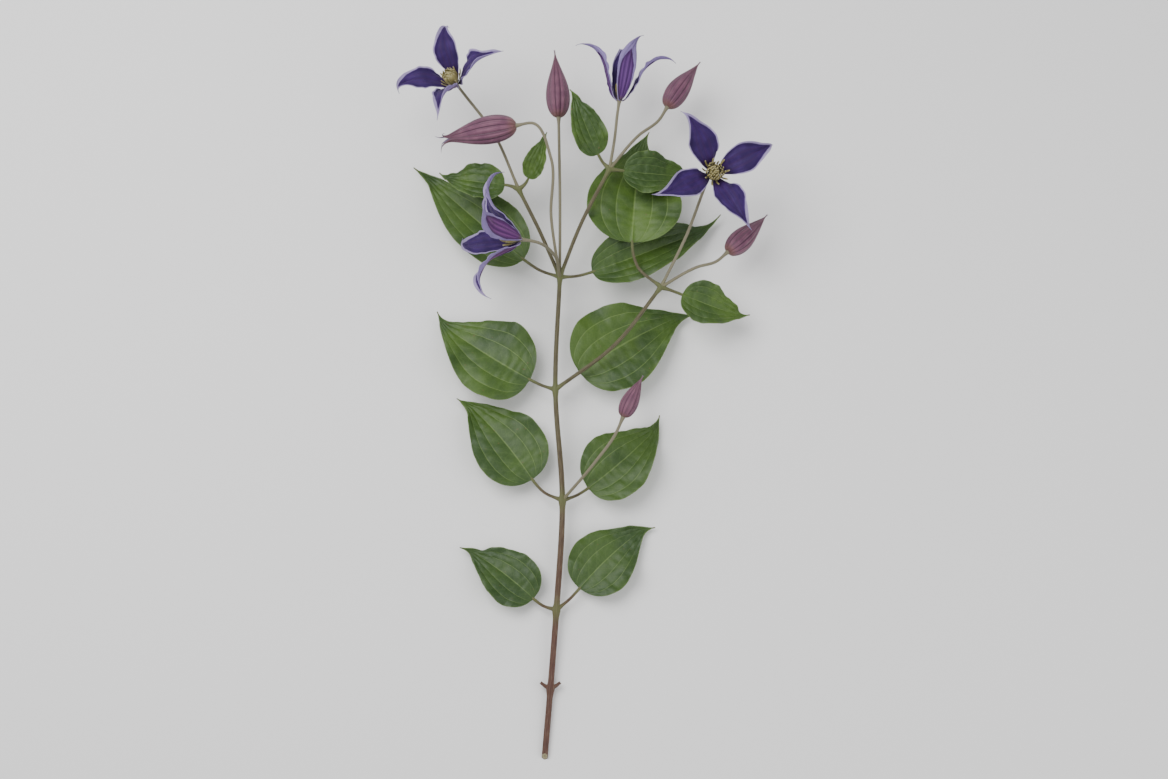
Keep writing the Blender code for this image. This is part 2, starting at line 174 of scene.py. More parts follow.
def lay_grid(name: str, rows: int, columns: int) -> Piece:
    """Adds a flat square grid, one unit wide.

    Args:
        name: The grid's name.
        rows: How many steps it has along X.
        columns: How many it has along Y.

    Returns:
        The grid.
    """
    deselect()
    bpy.ops.mesh.primitive_grid_add(x_subdivisions=rows, y_subdivisions=columns, size=1.0)
    piece = bpy.context.object
    piece.name = name
    return piece


def map_sheet(mesh: bpy.types.Mesh, places: list[Span]) -> None:
    """Writes a mesh's UV map.

    Args:
        mesh: The mesh.
        places: The place on the map of each of its points.
    """
    layer = mesh.uv_layers.active or mesh.uv_layers.new(name="UVMap")
    for loop in mesh.loops:
        layer.uv[loop.index].vector = places[loop.vertex_index]


def mark(mesh: bpy.types.Mesh, name: str, values: list[float]) -> None:
    """Writes a number at each point of a mesh, for its material to read."""
    layer = mesh.attributes.new(name, "FLOAT", "POINT")
    layer.data.foreach_set("value", values)


def outline(share: float, peak: float) -> float:
    """Gives a blade's half width as a share of its greatest.

    Args:
        share: How far along the blade, from 0 at its base to 1 at its tip.
        peak: The share at which the blade is broadest.

    Returns:
        A value from 0 to 1.
    """
    swell = math.sin(math.pi * share ** (math.log(0.5) / math.log(peak)))
    return max(swell, 0.0) ** (OUTLINE_POWER * (1 + share))


def crowd(row: float) -> float:
    """Brings rows closer together at a blade's base and tip."""
    return row - ROW_CROWDING * math.sin(math.tau * row)


def even_places(steps: int) -> list[float]:
    """Gives the places of evenly spaced lines across a blade, from -1 to 1."""
    return [2 * i / steps - 1 for i in range(steps + 1)]


def fade_ends(share: float, base: float, tip: float) -> float:
    """Gives 1 along a blade, and an even fall to nought at both its ends.

    Args:
        share: How far along the blade.
        base: The blade's length over the length of the fall at its base.
        tip: The same for the fall at its tip.

    Returns:
        A value from 0 to 1.
    """
    return min(1.0, base * share) * min(1.0, tip * (1 - share))


def smooth_key(keys: list[Span], share: float) -> float:
    """Reads a value between keys, eased in and out of each pair.

    Args:
        keys: Pairs of a share and its value, in order.
        share: Where to read.

    Returns:
        The value there.
    """
    for (low, before), (high, after) in zip(keys, keys[1:]):
        if share <= high:
            part = (share - low) / (high - low)
            part = part * part * (3 - 2 * part)
            return before + (after - before) * part
    return keys[-1][1]


def rise_between(low: float, high: float, value: float) -> float:
    """Gives 0 below low, 1 above high, and a smooth rise between them."""
    part = min(1.0, max(0.0, (value - low) / (high - low)))
    return part * part * (3 - 2 * part)


def bell(distance: float, width: float) -> float:
    """Gives 1 at no distance, and falls smoothly to nothing at about twice the width."""
    return math.exp(-((distance / width) ** 2))


def direction(pitch: float, turn: float) -> Vector:
    """Gives the unit vector that climbs by pitch and is turned from +X by turn, both in degrees."""
    climb, swing = math.radians(pitch), math.radians(turn)
    return Vector((math.cos(climb) * math.cos(swing), math.cos(climb) * math.sin(swing), math.sin(climb)))


def leaning(angle: float) -> Vector:
    """Gives the unit vector that leans from +Z towards +X by an angle in radians."""
    return Vector((math.sin(angle), 0.0, math.cos(angle)))


def off_leaning(angle: float) -> Vector:
    """Gives the unit vector square to the leaning one, on its outer side."""
    return Vector((math.cos(angle), 0.0, -math.sin(angle)))


def smooth_route(points: list[Vector], step: float = ROUTE_STEP) -> list[Vector]:
    """Lays points on the smooth curve through the given ones.

    Args:
        points: The points that the curve goes through.
        step: About how far apart the new points are.

    Returns:
        The points of the curve, in order.
    """
    spans = [(after - before).length for before, after in zip(points, points[1:])]
    slopes = [(after - before) / span for before, after, span in zip(points, points[1:], spans)]
    tangents = [slopes[0]]
    for i in range(1, len(points) - 1):
        tangents.append(slopes[i - 1].lerp(slopes[i], spans[i - 1] / (spans[i - 1] + spans[i])))
    tangents.append(slopes[-1])
    route = [points[0]]
    for i, span in enumerate(spans):
        count = max(1, round(span / step))
        for k in range(1, count + 1):
            t = k / count
            route.append(
                points[i] * (2 * t**3 - 3 * t**2 + 1)
                + points[i + 1] * (3 * t**2 - 2 * t**3)
                + tangents[i] * span * (t**3 - 2 * t**2 + t)
                + tangents[i + 1] * span * (t**3 - t**2)
            )
    return route


class Recipe:
    """One procedural material, built socket by socket."""

    def __init__(self, name: str) -> None:
        """Starts a material with its Principled shader.

        Args:
            name: The material's name.
        """
        self.material = bpy.data.materials.new(name)
        self.material.use_nodes = True
        self.tree = self.material.node_tree
        self.shader = self.tree.nodes["Principled BSDF"]
        place = self.node("TexCoord")
        self.place = place.outputs["Object"]
        self.sheet = place.outputs["UV"]

    def node(self, kind: str, inputs: dict[Any, Any] | None = None, **settings: Any) -> bpy.types.Node:
        """Adds a node.

        Args:
            kind: The node's type, without its ShaderNode prefix.
            inputs: A value or a socket for each named or numbered input.
            **settings: The node's own settings.

        Returns:
            The node.
        """
        made = self.tree.nodes.new("ShaderNode" + kind)
        for name, value in settings.items():
            setattr(made, name, value)
        for key, value in (inputs or {}).items():
            self.feed(made.inputs[key], value)
        return made

    def feed(self, socket: Socket, value: Any) -> None:
        """Sets a socket to a value, or links another socket to it.

        Args:
            socket: The input to set.
            value: A number, a colour, a vector or an output socket.
        """
        if isinstance(value, Socket):
            self.tree.links.new(value, socket)
        elif socket.type == "RGBA":
            socket.default_value = (*value[:3], 1.0)
        else:
            socket.default_value = value

    def math(self, operation: str, first: Any, second: Any = 0.0) -> Socket:
        """Adds a Math node and returns its result."""
        return self.node("Math", {0: first, 1: second}, operation=operation).outputs[0]

    def times(self, first: Any, second: Any) -> Socket:
        """Multiplies two values."""
        return self.math("MULTIPLY", first, second)

    def plus(self, first: Any, second: Any) -> Socket:
        """Adds two values."""
        return self.math("ADD", first, second)

    def away(self, value: Any, place: float) -> Socket:
        """Gives how far a value is from a place, either way."""
        return self.math("ABSOLUTE", self.math("SUBTRACT", value, place))

    def ramp(self, value: Any, low: float, high: float) -> Socket:
        """Turns a value into a smooth step.

        Args:
            value: The socket to read.
            low: Where the step is at 0.
            high: Where the step is at 1. Below low, the step falls.

        Returns:
            A socket from 0 to 1.
        """
        start, end = (0.0, 1.0) if high > low else (1.0, 0.0)
        inputs = {"Value": value, "From Min": min(low, high), "From Max": max(low, high)}
        inputs |= {"To Min": start, "To Max": end}
        return self.node("MapRange", inputs, interpolation_type="SMOOTHSTEP").outputs["Result"]

    def mix(self, factor: Any, first: Any, second: Any) -> Socket:
        """Mixes two colours by a factor and returns the result."""
        return self.node("Mix", {0: factor, 6: first, 7: second}, data_type="RGBA").outputs[2]

    def glaze(self, colour: Any, *layers: tuple[Any, float, Any]) -> Any:
        """Lays other colours over a colour, each where a factor says so.

        Args:
            colour: The colour below.
            *layers: For each colour laid on, in order: where it shows, how strongly, and the colour.

        Returns:
            The mixed colour.
        """
        for factor, strength, over in layers:
            colour = self.mix(self.times(factor, strength), colour, over)
        return colour

    def noise(self, scale: float, detail: float = 3.0, source: Any = None) -> Socket:
        """Adds a noise.

        Args:
            scale: Waves per metre.
            detail: How many finer layers it has.
            source: Where it reads its place, the piece's own space by default.

        Returns:
            A socket round 0.5.
        """
        inputs = {"Vector": source or self.place, "Scale": scale, "Detail": detail}
        return self.node("TexNoise", inputs).outputs["Fac"]

    def wander(self, scale: float, reach: float, detail: float = 3.0) -> Socket:
        """Gives a noise round nought that goes about half the reach either way."""
        return self.times(self.math("SUBTRACT", self.noise(scale, detail), 0.5), reach)

    def pushed(self, scale: float, reach: float) -> Socket:
        """Gives the piece's own space, pushed about by a noise.

        Args:
            scale: The noise's waves per metre.
            reach: How far it pushes.

        Returns:
            The pushed space.
        """
        cloud = self.node("TexNoise", {"Vector": self.place, "Scale": scale, "Detail": 2.0}).outputs["Color"]
        shift = self.node("VectorMath", {0: cloud, 1: (0.5, 0.5, 0.5)}, operation="SUBTRACT").outputs[0]
        shift = self.node("VectorMath", {0: shift, 1: (reach, reach, reach)}, operation="MULTIPLY").outputs[0]
        return self.node("VectorMath", {0: self.place, 1: shift}, operation="ADD").outputs[0]

    def cells(self, scale: float, source: Any) -> Socket:
        """Adds a cell net and returns the distance to its edges."""
        inputs = {"Vector": source, "Scale": scale}
        return self.node("TexVoronoi", inputs, feature="DISTANCE_TO_EDGE").outputs["Distance"]

    def attribute(self, name: str) -> Socket:
        """Reads a number that the mesh carries at its points."""
        return self.node("Attribute", attribute_name=name).outputs["Fac"]

    def stripes(self, across: Any, places: tuple[float, ...], widths: tuple[float, ...], core: float) -> Any:
        """Draws stripes along the piece.

        Args:
            across: The number that runs across it.
            places: Where the stripes lie.
            widths: Half the width of each.
            core: The share of that width over which a stripe is full.

        Returns:
            A socket that is 1 on a stripe.
        """
        lines: Any = 0.0
        for place, width in zip(places, widths):
            line = self.ramp(self.away(across, place), width, core * width)
            lines = self.math("MAXIMUM", lines, line)
        return lines

    def sheet_axes(self) -> tuple[Socket, Socket]:
        """Splits the UV map into its two numbers, one along the piece and one across or around it."""
        parts = self.node("SeparateXYZ", {0: self.sheet})
        return parts.outputs[0], parts.outputs[1]

    def streaks(self, along: Any, across: Any, along_scale: float, across_scale: float) -> Socket:
        """Adds a noise drawn out lengthwise.

        Args:
            along: The number that runs along the piece.
            across: The number that runs across or around it.
            along_scale: Waves in one unit along.
            across_scale: Waves in one unit across.

        Returns:
            A socket round 0.5.
        """
        vary = self.times(self.attribute("vary"), STREAK_SHIFT)
        inputs = {0: self.times(along, along_scale), 1: self.times(across, across_scale), 2: vary}
        return self.noise(1.0, 3.0, self.node("CombineXYZ", inputs).outputs[0])

    def bump(self, height: Any, distance: float, before: Any = None) -> Socket:
        """Raises the surface.

        Args:
            height: The socket that gives the height, 0 to 1.
            distance: How far height 1 stands out.
            before: An earlier bump to add to.

        Returns:
            The normal.
        """
        inputs = {"Height": height, "Distance": distance}
        if before is not None:
            inputs["Normal"] = before
        return self.node("Bump", inputs).outputs["Normal"]

    def finish(self, colour: Any, roughness: Any, normal: Any = None, **sockets: Any) -> Material:
        """Feeds the shader and hands over the material.

        Args:
            colour: Base colour.
            roughness: Roughness.
            normal: A bumped normal, if there is one.
            **sockets: Other sockets of the shader, with spaces as underscores.

        Returns:
            The material.
        """
        self.feed(self.shader.inputs["Base Color"], colour)
        self.feed(self.shader.inputs["Roughness"], roughness)
        if normal is not None:
            self.feed(self.shader.inputs["Normal"], normal)
        for name, value in sockets.items():
            self.feed(self.shader.inputs[name.replace("_", " ")], value)
        return self.material


@dataclass(frozen=True)
class LeafFinish:
    """A satin green upper side with faintly paler nerves, and a matt grey-green underside."""

    deep: Colour = (0.024, 0.058, 0.007)
    fresh: Colour = (0.068, 0.130, 0.012)
    old: Colour = (0.016, 0.042, 0.009)
    under: Colour = (0.115, 0.175, 0.062)
    nerve: Colour = (0.170, 0.250, 0.070)
    speck: Colour = (0.110, 0.075, 0.025)
    nerves: tuple[float, ...] = (0.0, 0.38, 0.70)
    nerve_widths: tuple[float, ...] = (0.030, 0.016, 0.016)
    nerve_core: float = 0.3
    side_veins: float = 8.0
    vein_slant: float = 2.6

    def material(self) -> Material:
        """Builds the leaf's material.

        Returns:
            The material.
        """
        recipe = Recipe("leaf")
        share, across = recipe.sheet_axes()
        nerves = recipe.stripes(across, self.nerves, self.nerve_widths, self.nerve_core)
        net = self.net(recipe, share, across)
        tone = recipe.ramp(recipe.noise(34.0, 4.0), 0.36, 0.66)
        grain = recipe.ramp(recipe.noise(900.0, 2.0), 0.25, 0.75)
        margin = recipe.ramp(recipe.attribute("inset"), 0.0008, 0.0001)
        tip = recipe.ramp(share, 0.94, 1.0)
        specks = recipe.ramp(recipe.noise(420.0, 1.0), 0.745, 0.775)
        upper = recipe.glaze(
            recipe.mix(tone, self.deep, self.fresh),
            (grain, 0.22, self.deep),
            (recipe.attribute("age"), 0.85, self.old),
            (net, 0.11, self.nerve),
            (nerves, 0.38, self.nerve),
            (margin, 0.45, self.nerve),
            (tip, 0.50, self.speck),
            (specks, 0.55, self.speck),
        )
        veins = recipe.math("MAXIMUM", nerves, net)
        below = recipe.glaze(self.under, (veins, 0.55, self.nerve), (tone, 0.30, self.fresh))
        side = recipe.attribute("side")
        facing = recipe.math("SUBTRACT", recipe.times(side, 2.0), 1.0)
        normal = recipe.bump(recipe.times(net, facing), 0.00002)
        normal = recipe.bump(recipe.noise(1400.0, 2.0), 0.000025, normal)
        roughness = recipe.plus(recipe.times(side, 0.20), recipe.times(recipe.noise(220.0), 0.12))
        roughness = recipe.plus(roughness, 0.45)
        return recipe.finish(recipe.mix(side, upper, below), roughness, normal, Specular_IOR_Level=0.38)

    def net(self, recipe: Recipe, share: Any, across: Any) -> Socket:
        """Draws the slanting veins between the nerves and the fine net.

        Args:
            recipe: The material to add to.
            share: The share along the leaf.
            across: The distance from the midrib, 0 to 1.

        Returns:
            A socket that is 1 on a slanting vein and less on finer ones.
        """
        ladder = recipe.plus(recipe.times(share, self.side_veins), recipe.times(across, -self.vein_slant))
        ladder = recipe.plus(ladder, recipe.times(recipe.noise(160.0, 2.0), 0.9))
        ladder = recipe.away(recipe.math("FRACT", ladder), 0.5)
        pushed = recipe.pushed(240.0, 0.0032)
        veins = (
            (recipe.ramp(ladder, 0.055, 0.010), 1.0),
            (recipe.ramp(recipe.cells(300.0, pushed), 0.085, 0.0), 0.75),
            (recipe.ramp(recipe.cells(780.0, pushed), 0.15, 0.0), 0.35),
        )
        lines: Any = 0.0
        for vein, strength in veins:
            lines = recipe.math("MAXIMUM", lines, recipe.times(vein, strength))
        return lines


@dataclass(frozen=True)
class TepalFinish:
    """Deep indigo inside, darker deep in the cup as painted shade and lighter towards the tips as painted
    light; outside a purple band with paler ribs, partly painted highlight, and darker grooves, partly painted
    shade, between lavender felted margins.
    """

    inside: Colour = (0.022, 0.007, 0.066)
    # inside_light: a paler indigo for the uneven tone, and for the painted light towards the tips
    inside_light: Colour = (0.058, 0.022, 0.150)
    band: Colour = (0.122, 0.026, 0.150)
    band_blue: Colour = (0.070, 0.026, 0.160)
    # rib and rib_blue: the ribs' paler colour, partly their own and partly a painted highlight on the raised
    # ribs
    rib: Colour = (0.225, 0.075, 0.225)
    rib_blue: Colour = (0.135, 0.068, 0.250)
    # dark: a dark purple for the band's own dark lines, its edge beside the felt and its tip, and for painted
    # shade in the grooves and deep in the cup
    dark: Colour = (0.036, 0.009, 0.058)
    felt: Colour = (0.245, 0.182, 0.420)
    felt_light: Colour = (0.460, 0.375, 0.640)
    foot: Colour = (0.180, 0.130, 0.110)
    felt_base: float = 0.0009
    felt_gain: float = 0.0031
    rib_places: tuple[float, ...] = (0.0, 0.34)
    rib_widths: tuple[float, ...] = (0.12, 0.12)
    rib_core: float = 1 / 6
    groove: float = 0.17

    def material(self) -> Material:
        """Builds the tepal's material.

        Returns:
            The material.
        """
        recipe = Recipe("tepal")
        share, across = recipe.sheet_axes()
        vary = recipe.attribute("vary")
        depth = self.felt_depth(recipe, share)
        felted = recipe.ramp(depth, -0.0003, 0.0004)
        threads = recipe.ramp(recipe.streaks(share, across, 2.2, 26.0), 0.42, 0.60)
        # The long ribs: paler outside, partly as a painted highlight; darker inside, partly as painted shade
        # in the sunk grooves
        lines = recipe.stripes(across, self.rib_places, self.rib_widths, self.rib_core)
        inner = self.inner_side(recipe, share, threads, lines)
        # Dark lines in the grooves between the ribs: partly the band's own dark lines, partly painted shade
        # in the grooves
        grooves = recipe.ramp(recipe.away(across, self.groove), 0.09, 0.02)
        beside_felt = recipe.ramp(depth, -0.0030, -0.0004)
        foot = recipe.ramp(share, 0.09, 0.0)
        tip = recipe.ramp(share, 0.93, 0.99)
        down = recipe.ramp(recipe.noise(4600.0, 3.0), 0.38, 0.70)
        felt = recipe.glaze(self.felt, (down, 0.40, self.felt_light), (threads, 0.16, self.band_blue))
        outer = recipe.glaze(
            recipe.mix(vary, self.band, self.band_blue),
            # Paler ribs: partly their own colour, partly a painted highlight on the raised ribs
            (lines, 0.55, recipe.mix(vary, self.rib, self.rib_blue)),
            (grooves, 0.50, self.dark),
            (threads, 0.30, self.dark),
            (beside_felt, 0.72, self.dark),
            (foot, 0.70, self.foot),
            (felted, 0.94, felt),
            (tip, 0.60, self.dark),
        )
        normal = recipe.bump(threads, 0.00012)
        normal = recipe.bump(recipe.times(down, recipe.plus(felted, 0.2)), 0.00008, normal)
        roughness = recipe.plus(recipe.times(felted, 0.16), 0.55)
        colour = recipe.mix(recipe.attribute("side"), inner, outer)
        return recipe.finish(colour, roughness, normal, Specular_IOR_Level=0.22, Sheen_Weight=0.04)

    def inner_side(self, recipe: Recipe, share: Any, threads: Any, lines: Any) -> Socket:
        """Colours a tepal's inside.

        Args:
            recipe: The material to add to.
            share: The share along the tepal.
            threads: The fine threads along it.
            lines: Its long ribs, which are sunk as grooves inside and darkened there, partly as painted
                shade.

        Returns:
            The colour.
        """
        tone = recipe.ramp(recipe.noise(110.0, 3.0), 0.34, 0.68)
        # Painted light and shade: lighter towards the open tip, darker deep in the cup where the tepals meet
        mouth_light = recipe.ramp(share, 0.35, 1.0)
        throat_shade = recipe.ramp(share, 0.30, 0.0)
        inset = recipe.plus(recipe.attribute("inset"), recipe.wander(420.0, 0.0006))
        rim = recipe.ramp(inset, 0.0016, 0.0008)
        return recipe.glaze(
            self.inside,
            (tone, 0.60, self.inside_light),
            (threads, 0.45, self.inside),
            (mouth_light, 0.55, self.inside_light),
            (throat_shade, 0.45, self.dark),
            # Dark lines along the sunk grooves inside: partly faint dark lines of the tepal, partly painted
            # shade in the grooves
            (lines, 0.35, self.dark),
            (rim, 0.85, self.felt_light),
        )

    def felt_depth(self, recipe: Recipe, share: Any) -> Socket:
        """Gives how far inside the felted margin a place is, in metres, and below nought outside it.

        Args:
            recipe: The material to add to.
            share: The share along the tepal.

        Returns:
            The depth. The margin widens from the base on and takes in the whole tip.
        """
        wide = recipe.plus(recipe.times(recipe.ramp(share, 0.0, 0.55), self.felt_gain), self.felt_base)
        wide = recipe.plus(wide, recipe.wander(280.0, 0.0013))
        return recipe.math("SUBTRACT", wide, recipe.attribute("inset"))


@dataclass(frozen=True)
class BudFinish:
    """Dusty mauve buds with dark stripes in their grooves, partly painted shade, a painted shadow beside each
    seam, and a browner tip and foot.
    """

    mauve: Colour = (0.129, 0.046, 0.085)
    rose: Colour = (0.192, 0.079, 0.122)
    # stripe: the dark wine of the stripes, used also for painted shade in the grooves and the painted shadow
    # beside the seams
    stripe: Colour = (0.036, 0.008, 0.026)
    tip: Colour = (0.085, 0.036, 0.048)
    pale: Colour = (0.360, 0.290, 0.300)
    seam: Colour = (0.270, 0.165, 0.205)
    foot: Colour = (0.200, 0.092, 0.062)
    lining: Colour = (0.200, 0.160, 0.280)
    groove: float = 0.333
    groove_bend: float = 0.08

    def material(self) -> Material:
        """Builds the bud's material.

        Returns:
            The material.
        """
        recipe = Recipe("bud")
        share, across = recipe.sheet_axes()
        streaks = recipe.streaks(share, across, 2.0, 15.0)
        tone = recipe.ramp(recipe.noise(130.0, 4.0), 0.33, 0.68)
        dark_streaks = recipe.ramp(streaks, 0.52, 0.36)
        bent = recipe.plus(across, recipe.times(streaks, self.groove_bend))
        # Dark stripes in the grooves between the ribs: partly the bud's own stripes, partly painted shade in
        # the grooves
        grooves = recipe.ramp(recipe.away(bent, self.groove + self.groove_bend / 2), 0.125, 0.03)
        # Painted shadow: a dark stripe beside each seam's raised lip
        seam_shadow = recipe.ramp(across, 0.84, 0.96)
        lip = recipe.ramp(recipe.attribute("inset"), 0.0005, 0.0001)
        upper_part = recipe.ramp(share, 0.55, 0.95)
        tip = recipe.ramp(share, 0.90, 1.0)
        foot = recipe.ramp(share, 0.12, 0.0)
        fuzz = recipe.noise(2800.0, 3.0)
        colour = recipe.glaze(
            recipe.mix(tone, self.mauve, self.rose),
            (dark_streaks, 0.45, self.stripe),
            (grooves, 0.88, self.stripe),
            (seam_shadow, 0.75, self.stripe),
            (upper_part, 0.55, self.tip),
            (tip, 0.55, self.pale),
            (lip, 0.40, self.seam),
            (foot, 0.60, self.foot),
            (recipe.ramp(fuzz, 0.52, 0.78), 0.22, self.seam),
        )
        colour = recipe.mix(recipe.attribute("side"), self.lining, colour)
        normal = recipe.bump(recipe.ramp(streaks, 0.35, 0.65), 0.00012)
        normal = recipe.bump(fuzz, 0.00012, normal)
        return recipe.finish(colour, 0.52, normal, Specular_IOR_Level=0.30, Sheen_Weight=0.08)


@dataclass(frozen=True)
class StalkFinish:
    """A striped stalk, red-brown towards its cut end, olive-brown above and green at its joints."""

    name: str = "stalk"
    contrast: float = 1.0
    lower: Colour = (0.088, 0.034, 0.022)
    upper: Colour = (0.088, 0.078, 0.036)
    hub: Colour = (0.105, 0.128, 0.038)
    pale: Colour = (0.210, 0.180, 0.110)
    fade: Span = (-0.20, 0.02)
    shade: float = 0.35

    def material(self) -> Material:
        """Builds the stalk's material.

        Returns:
            The material.
        """
        recipe = Recipe(self.name)
        along, around = recipe.sheet_axes()
        parts = recipe.node("SeparateXYZ", {0: recipe.place})
        height = recipe.plus(parts.outputs[1], recipe.wander(60.0, 0.06))
        colour = recipe.mix(recipe.ramp(height, *self.fade), self.lower, self.upper)
        streaks = recipe.streaks(along, around, 130.0, 34.0)
        fuzz = recipe.noise(3000.0, 3.0)
        dark = [self.shade * part for part in self.lower]
        colour = recipe.glaze(
            colour,
            (recipe.ramp(streaks, 0.52, 0.38), 0.60 * self.contrast, dark),
            (recipe.ramp(streaks, 0.54, 0.72), 0.55 * self.contrast, self.pale),
            (recipe.attribute("hub"), 0.75, self.hub),
            (recipe.ramp(fuzz, 0.55, 0.80), 0.18, self.pale),
        )
        normal = recipe.bump(streaks, 0.00022 * self.contrast)
        normal = recipe.bump(fuzz, 0.00008, normal)
        return recipe.finish(colour, 0.56, normal, Specular_IOR_Level=0.36, Sheen_Weight=0.10)


@dataclass(frozen=True)
class WoodFinish:
    """The pale wood of a fresh cut, with its vessels."""

    wood: Colour = (0.440, 0.400, 0.240)
    vessel: Colour = (0.200, 0.160, 0.080)

    def material(self) -> Material:
        """Builds the cut's material.

        Returns:
            The material.
        """
        recipe = Recipe("wood")
        vessels = recipe.ramp(recipe.cells(3200.0, recipe.pushed(900.0, 0.0004)), 0.25, 0.05)
        grain = recipe.ramp(recipe.noise(1200.0, 3.0), 0.40, 0.65)
        colour = recipe.glaze(self.wood, (grain, 0.5, self.vessel), (vessels, 0.45, self.vessel))
        return recipe.finish(colour, 0.75, recipe.bump(vessels, -0.00008))


@dataclass(frozen=True)
class StamenFinish:
    """Cream filaments, purple-tinged at their foot, with long olive-yellow heads."""

    foot: Colour = (0.045, 0.025, 0.060)
    cream: Colour = (0.300, 0.270, 0.150)
    head: Colour = (0.270, 0.230, 0.080)
    rim: Colour = (0.560, 0.500, 0.270)

    def material(self) -> Material:
        """Builds the stamens' material.

        Returns:
            The material.
        """
        recipe = Recipe("stamens")
        share = recipe.attribute("share")
        colour = recipe.mix(recipe.ramp(share, 0.15, 0.42), self.foot, self.cream)
        colour = recipe.mix(recipe.ramp(share, 0.46, 0.56), colour, self.head)
        grain = recipe.noise(2600.0, 2.0)
        pollen = recipe.ramp(grain, 0.45, 0.72)
        tip = recipe.ramp(share, 0.90, 1.0)
        colour = recipe.glaze(colour, (pollen, 0.45, self.rim), (tip, 0.75, self.rim))
        return recipe.finish(colour, 0.58, recipe.bump(grain, 0.00012))


@dataclass
class Blade:
    """What leaves and tepals share: a grid laid over a surface, thickened, with its two sides told apart.

    Attributes:
        name: The piece's name, which is its solid's name too.
        thickness: The blade's thickness away from its nerves.
        rows: How many steps the grid has from base to tip.
        columns: The places of the grid's lines across the blade, from -1 to 1.
        half_width: Gives half the blade's width at a share of its length.
    """

    name: str
    thickness: float
    rows: int
    columns: list[float]
    half_width: Callable[[float], float]

    def lay(self, surface: Surface, relief: Callable[[float, float, Side], float]) -> Piece:
        """Lays the grid over a surface and gives it its two sides.

        Args:
            surface: Gives the blade's middle at a row and a place across.
            relief: Gives how far a side stands out there, beyond half the thickness.

        Returns:
            The blade, in the surface's own space.
        """
        steps = len(self.columns) - 1
        piece = lay_grid(self.name, self.rows, steps)
        mesh = piece.data
        places = [(v.co.x + 0.5, self.columns[round((v.co.y + 0.5) * steps)]) for v in mesh.vertices]
        for vertex, (row, across) in zip(mesh.vertices, places):
            vertex.co = surface(row, across)
        map_sheet(mesh, [(crowd(row), abs(across)) for row, across in places])
        mesh.update()
        middles = [vertex.co.copy() for vertex in mesh.vertices]
        normals = [vertex.normal.copy() for vertex in mesh.vertices]
        shell = piece.modifiers.new("thickness", "SOLIDIFY")
        shell.thickness = self.thickness
        shell.offset = 0.0
        bpy.ops.object.modifier_apply(modifier=shell.name)
        sides = []
        insets = []
        for i, vertex in enumerate(mesh.vertices):
            source = i % len(places)
            row, across = places[source]
            inner = (vertex.co - middles[source]).dot(normals[source]) > 0
            side = Side.INNER if inner else Side.OUTER
            vertex.co += normals[source] * (1.0 if inner else -1.0) * relief(row, across, side)
            sides.append(side.value)
            insets.append((1 - abs(across)) * self.half_width(crowd(row)))
        mark(mesh, "side", sides)
        mark(mesh, "inset", insets)
        return piece


@dataclass
class Rod:
    """A ribbed rod laid round a route.

    Attributes:
        name: The rod's name.
        route: The points of its middle line, before the stem is centred.
        width: Gives its radius at a distance from its start and from its end.
        ribs: How many ribs run along it.
        rib_depth: How deep the grooves between them are, as a share of the radius.
        sides: How many steps the grid has round it.
    """

    name: str
    route: list[Vector]
    width: Width
    ribs: int = 6
    rib_depth: float = 0.10
    sides: int = 24

    def frames(self) -> list[tuple[Vector, Vector, Vector, float]]:
        """Follows the route without turning about it.

        Returns:
            For each point of the route, the point, two directions across and the way gone.
        """
        up = Vector((0.0, 0.0, 1.0))
        gone = 0.0
        frames = []
        for i, point in enumerate(self.route):
            before = self.route[max(i - 1, 0)]
            after = self.route[min(i + 1, len(self.route) - 1)]
            along = (after - before).normalized()
            gone += (point - before).length
            up = (up - along * up.dot(along)).normalized()
            frames.append((point - MIDDLE, up, along.cross(up), gone))
        return frames

    def build(self) -> Piece:
        """Builds the rod as a closed mesh, with a face attribute "cut" that is nought all over.

        Returns:
            The rod, without a material.
        """
        frames = self.frames()
        last = len(frames) - 1
        total = frames[-1][3]
        piece = lay_grid(self.name, last, self.sides)
        mesh = piece.data
        places = [(round((v.co.x + 0.5) * last), v.co.y + 0.5) for v in mesh.vertices]
        for vertex, (step, around) in zip(mesh.vertices, places):
            point, up, side, gone = frames[step]
            turn = math.tau * around
            radius = self.width(gone, total - gone)
            radius *= 1 - self.rib_depth * (1 - math.cos(self.ribs * turn)) / 2
            vertex.co = point - up * radius * math.cos(turn) + side * radius * math.sin(turn)
        map_sheet(mesh, [(frames[step][3], around) for step, around in places])
        mesh.attributes.new("cut", "FLOAT", "FACE")
        bpy.ops.object.mode_set(mode="EDIT")
        bpy.ops.mesh.select_all(action="SELECT")
        bpy.ops.mesh.remove_doubles(threshold=1e-6)
        bpy.ops.mesh.select_all(action="SELECT")
        bpy.ops.mesh.fill_holes(sides=0)
        bpy.ops.mesh.select_all(action="SELECT")
        bpy.ops.mesh.normals_make_consistent(inside=False)
        bpy.ops.object.mode_set(mode="OBJECT")
        return piece


def cut_faces(rod: Piece, place: Vector, radius: float) -> list[bool]:
    """Tells which faces of a rod are a cut.

    Args:
        rod: The rod.
        place: The middle of the cut.
        radius: How far from it the middle of such a face may lie.

    Returns:
        For each face, whether it is one.
    """
    faces = rod.data.polygons
    return [face.loop_total > GRID_CORNERS and (face.center - place).length < radius for face in faces]


def dress(piece: Piece, materials: list[Material], nodes: list[str]) -> None:
    """Gives a piece its materials and ties it to the frame.

    Args:
        piece: The finished piece.
        materials: Its materials, the main one first.
        nodes: The solids that it stands for.
    """
    for material in materials:
        piece.data.materials.append(material)
    activate(piece)
    bpy.ops.object.shade_smooth_by_angle(angle=math.radians(SMOOTH_ANGLE))
    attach(piece, "root")
    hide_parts(*nodes)


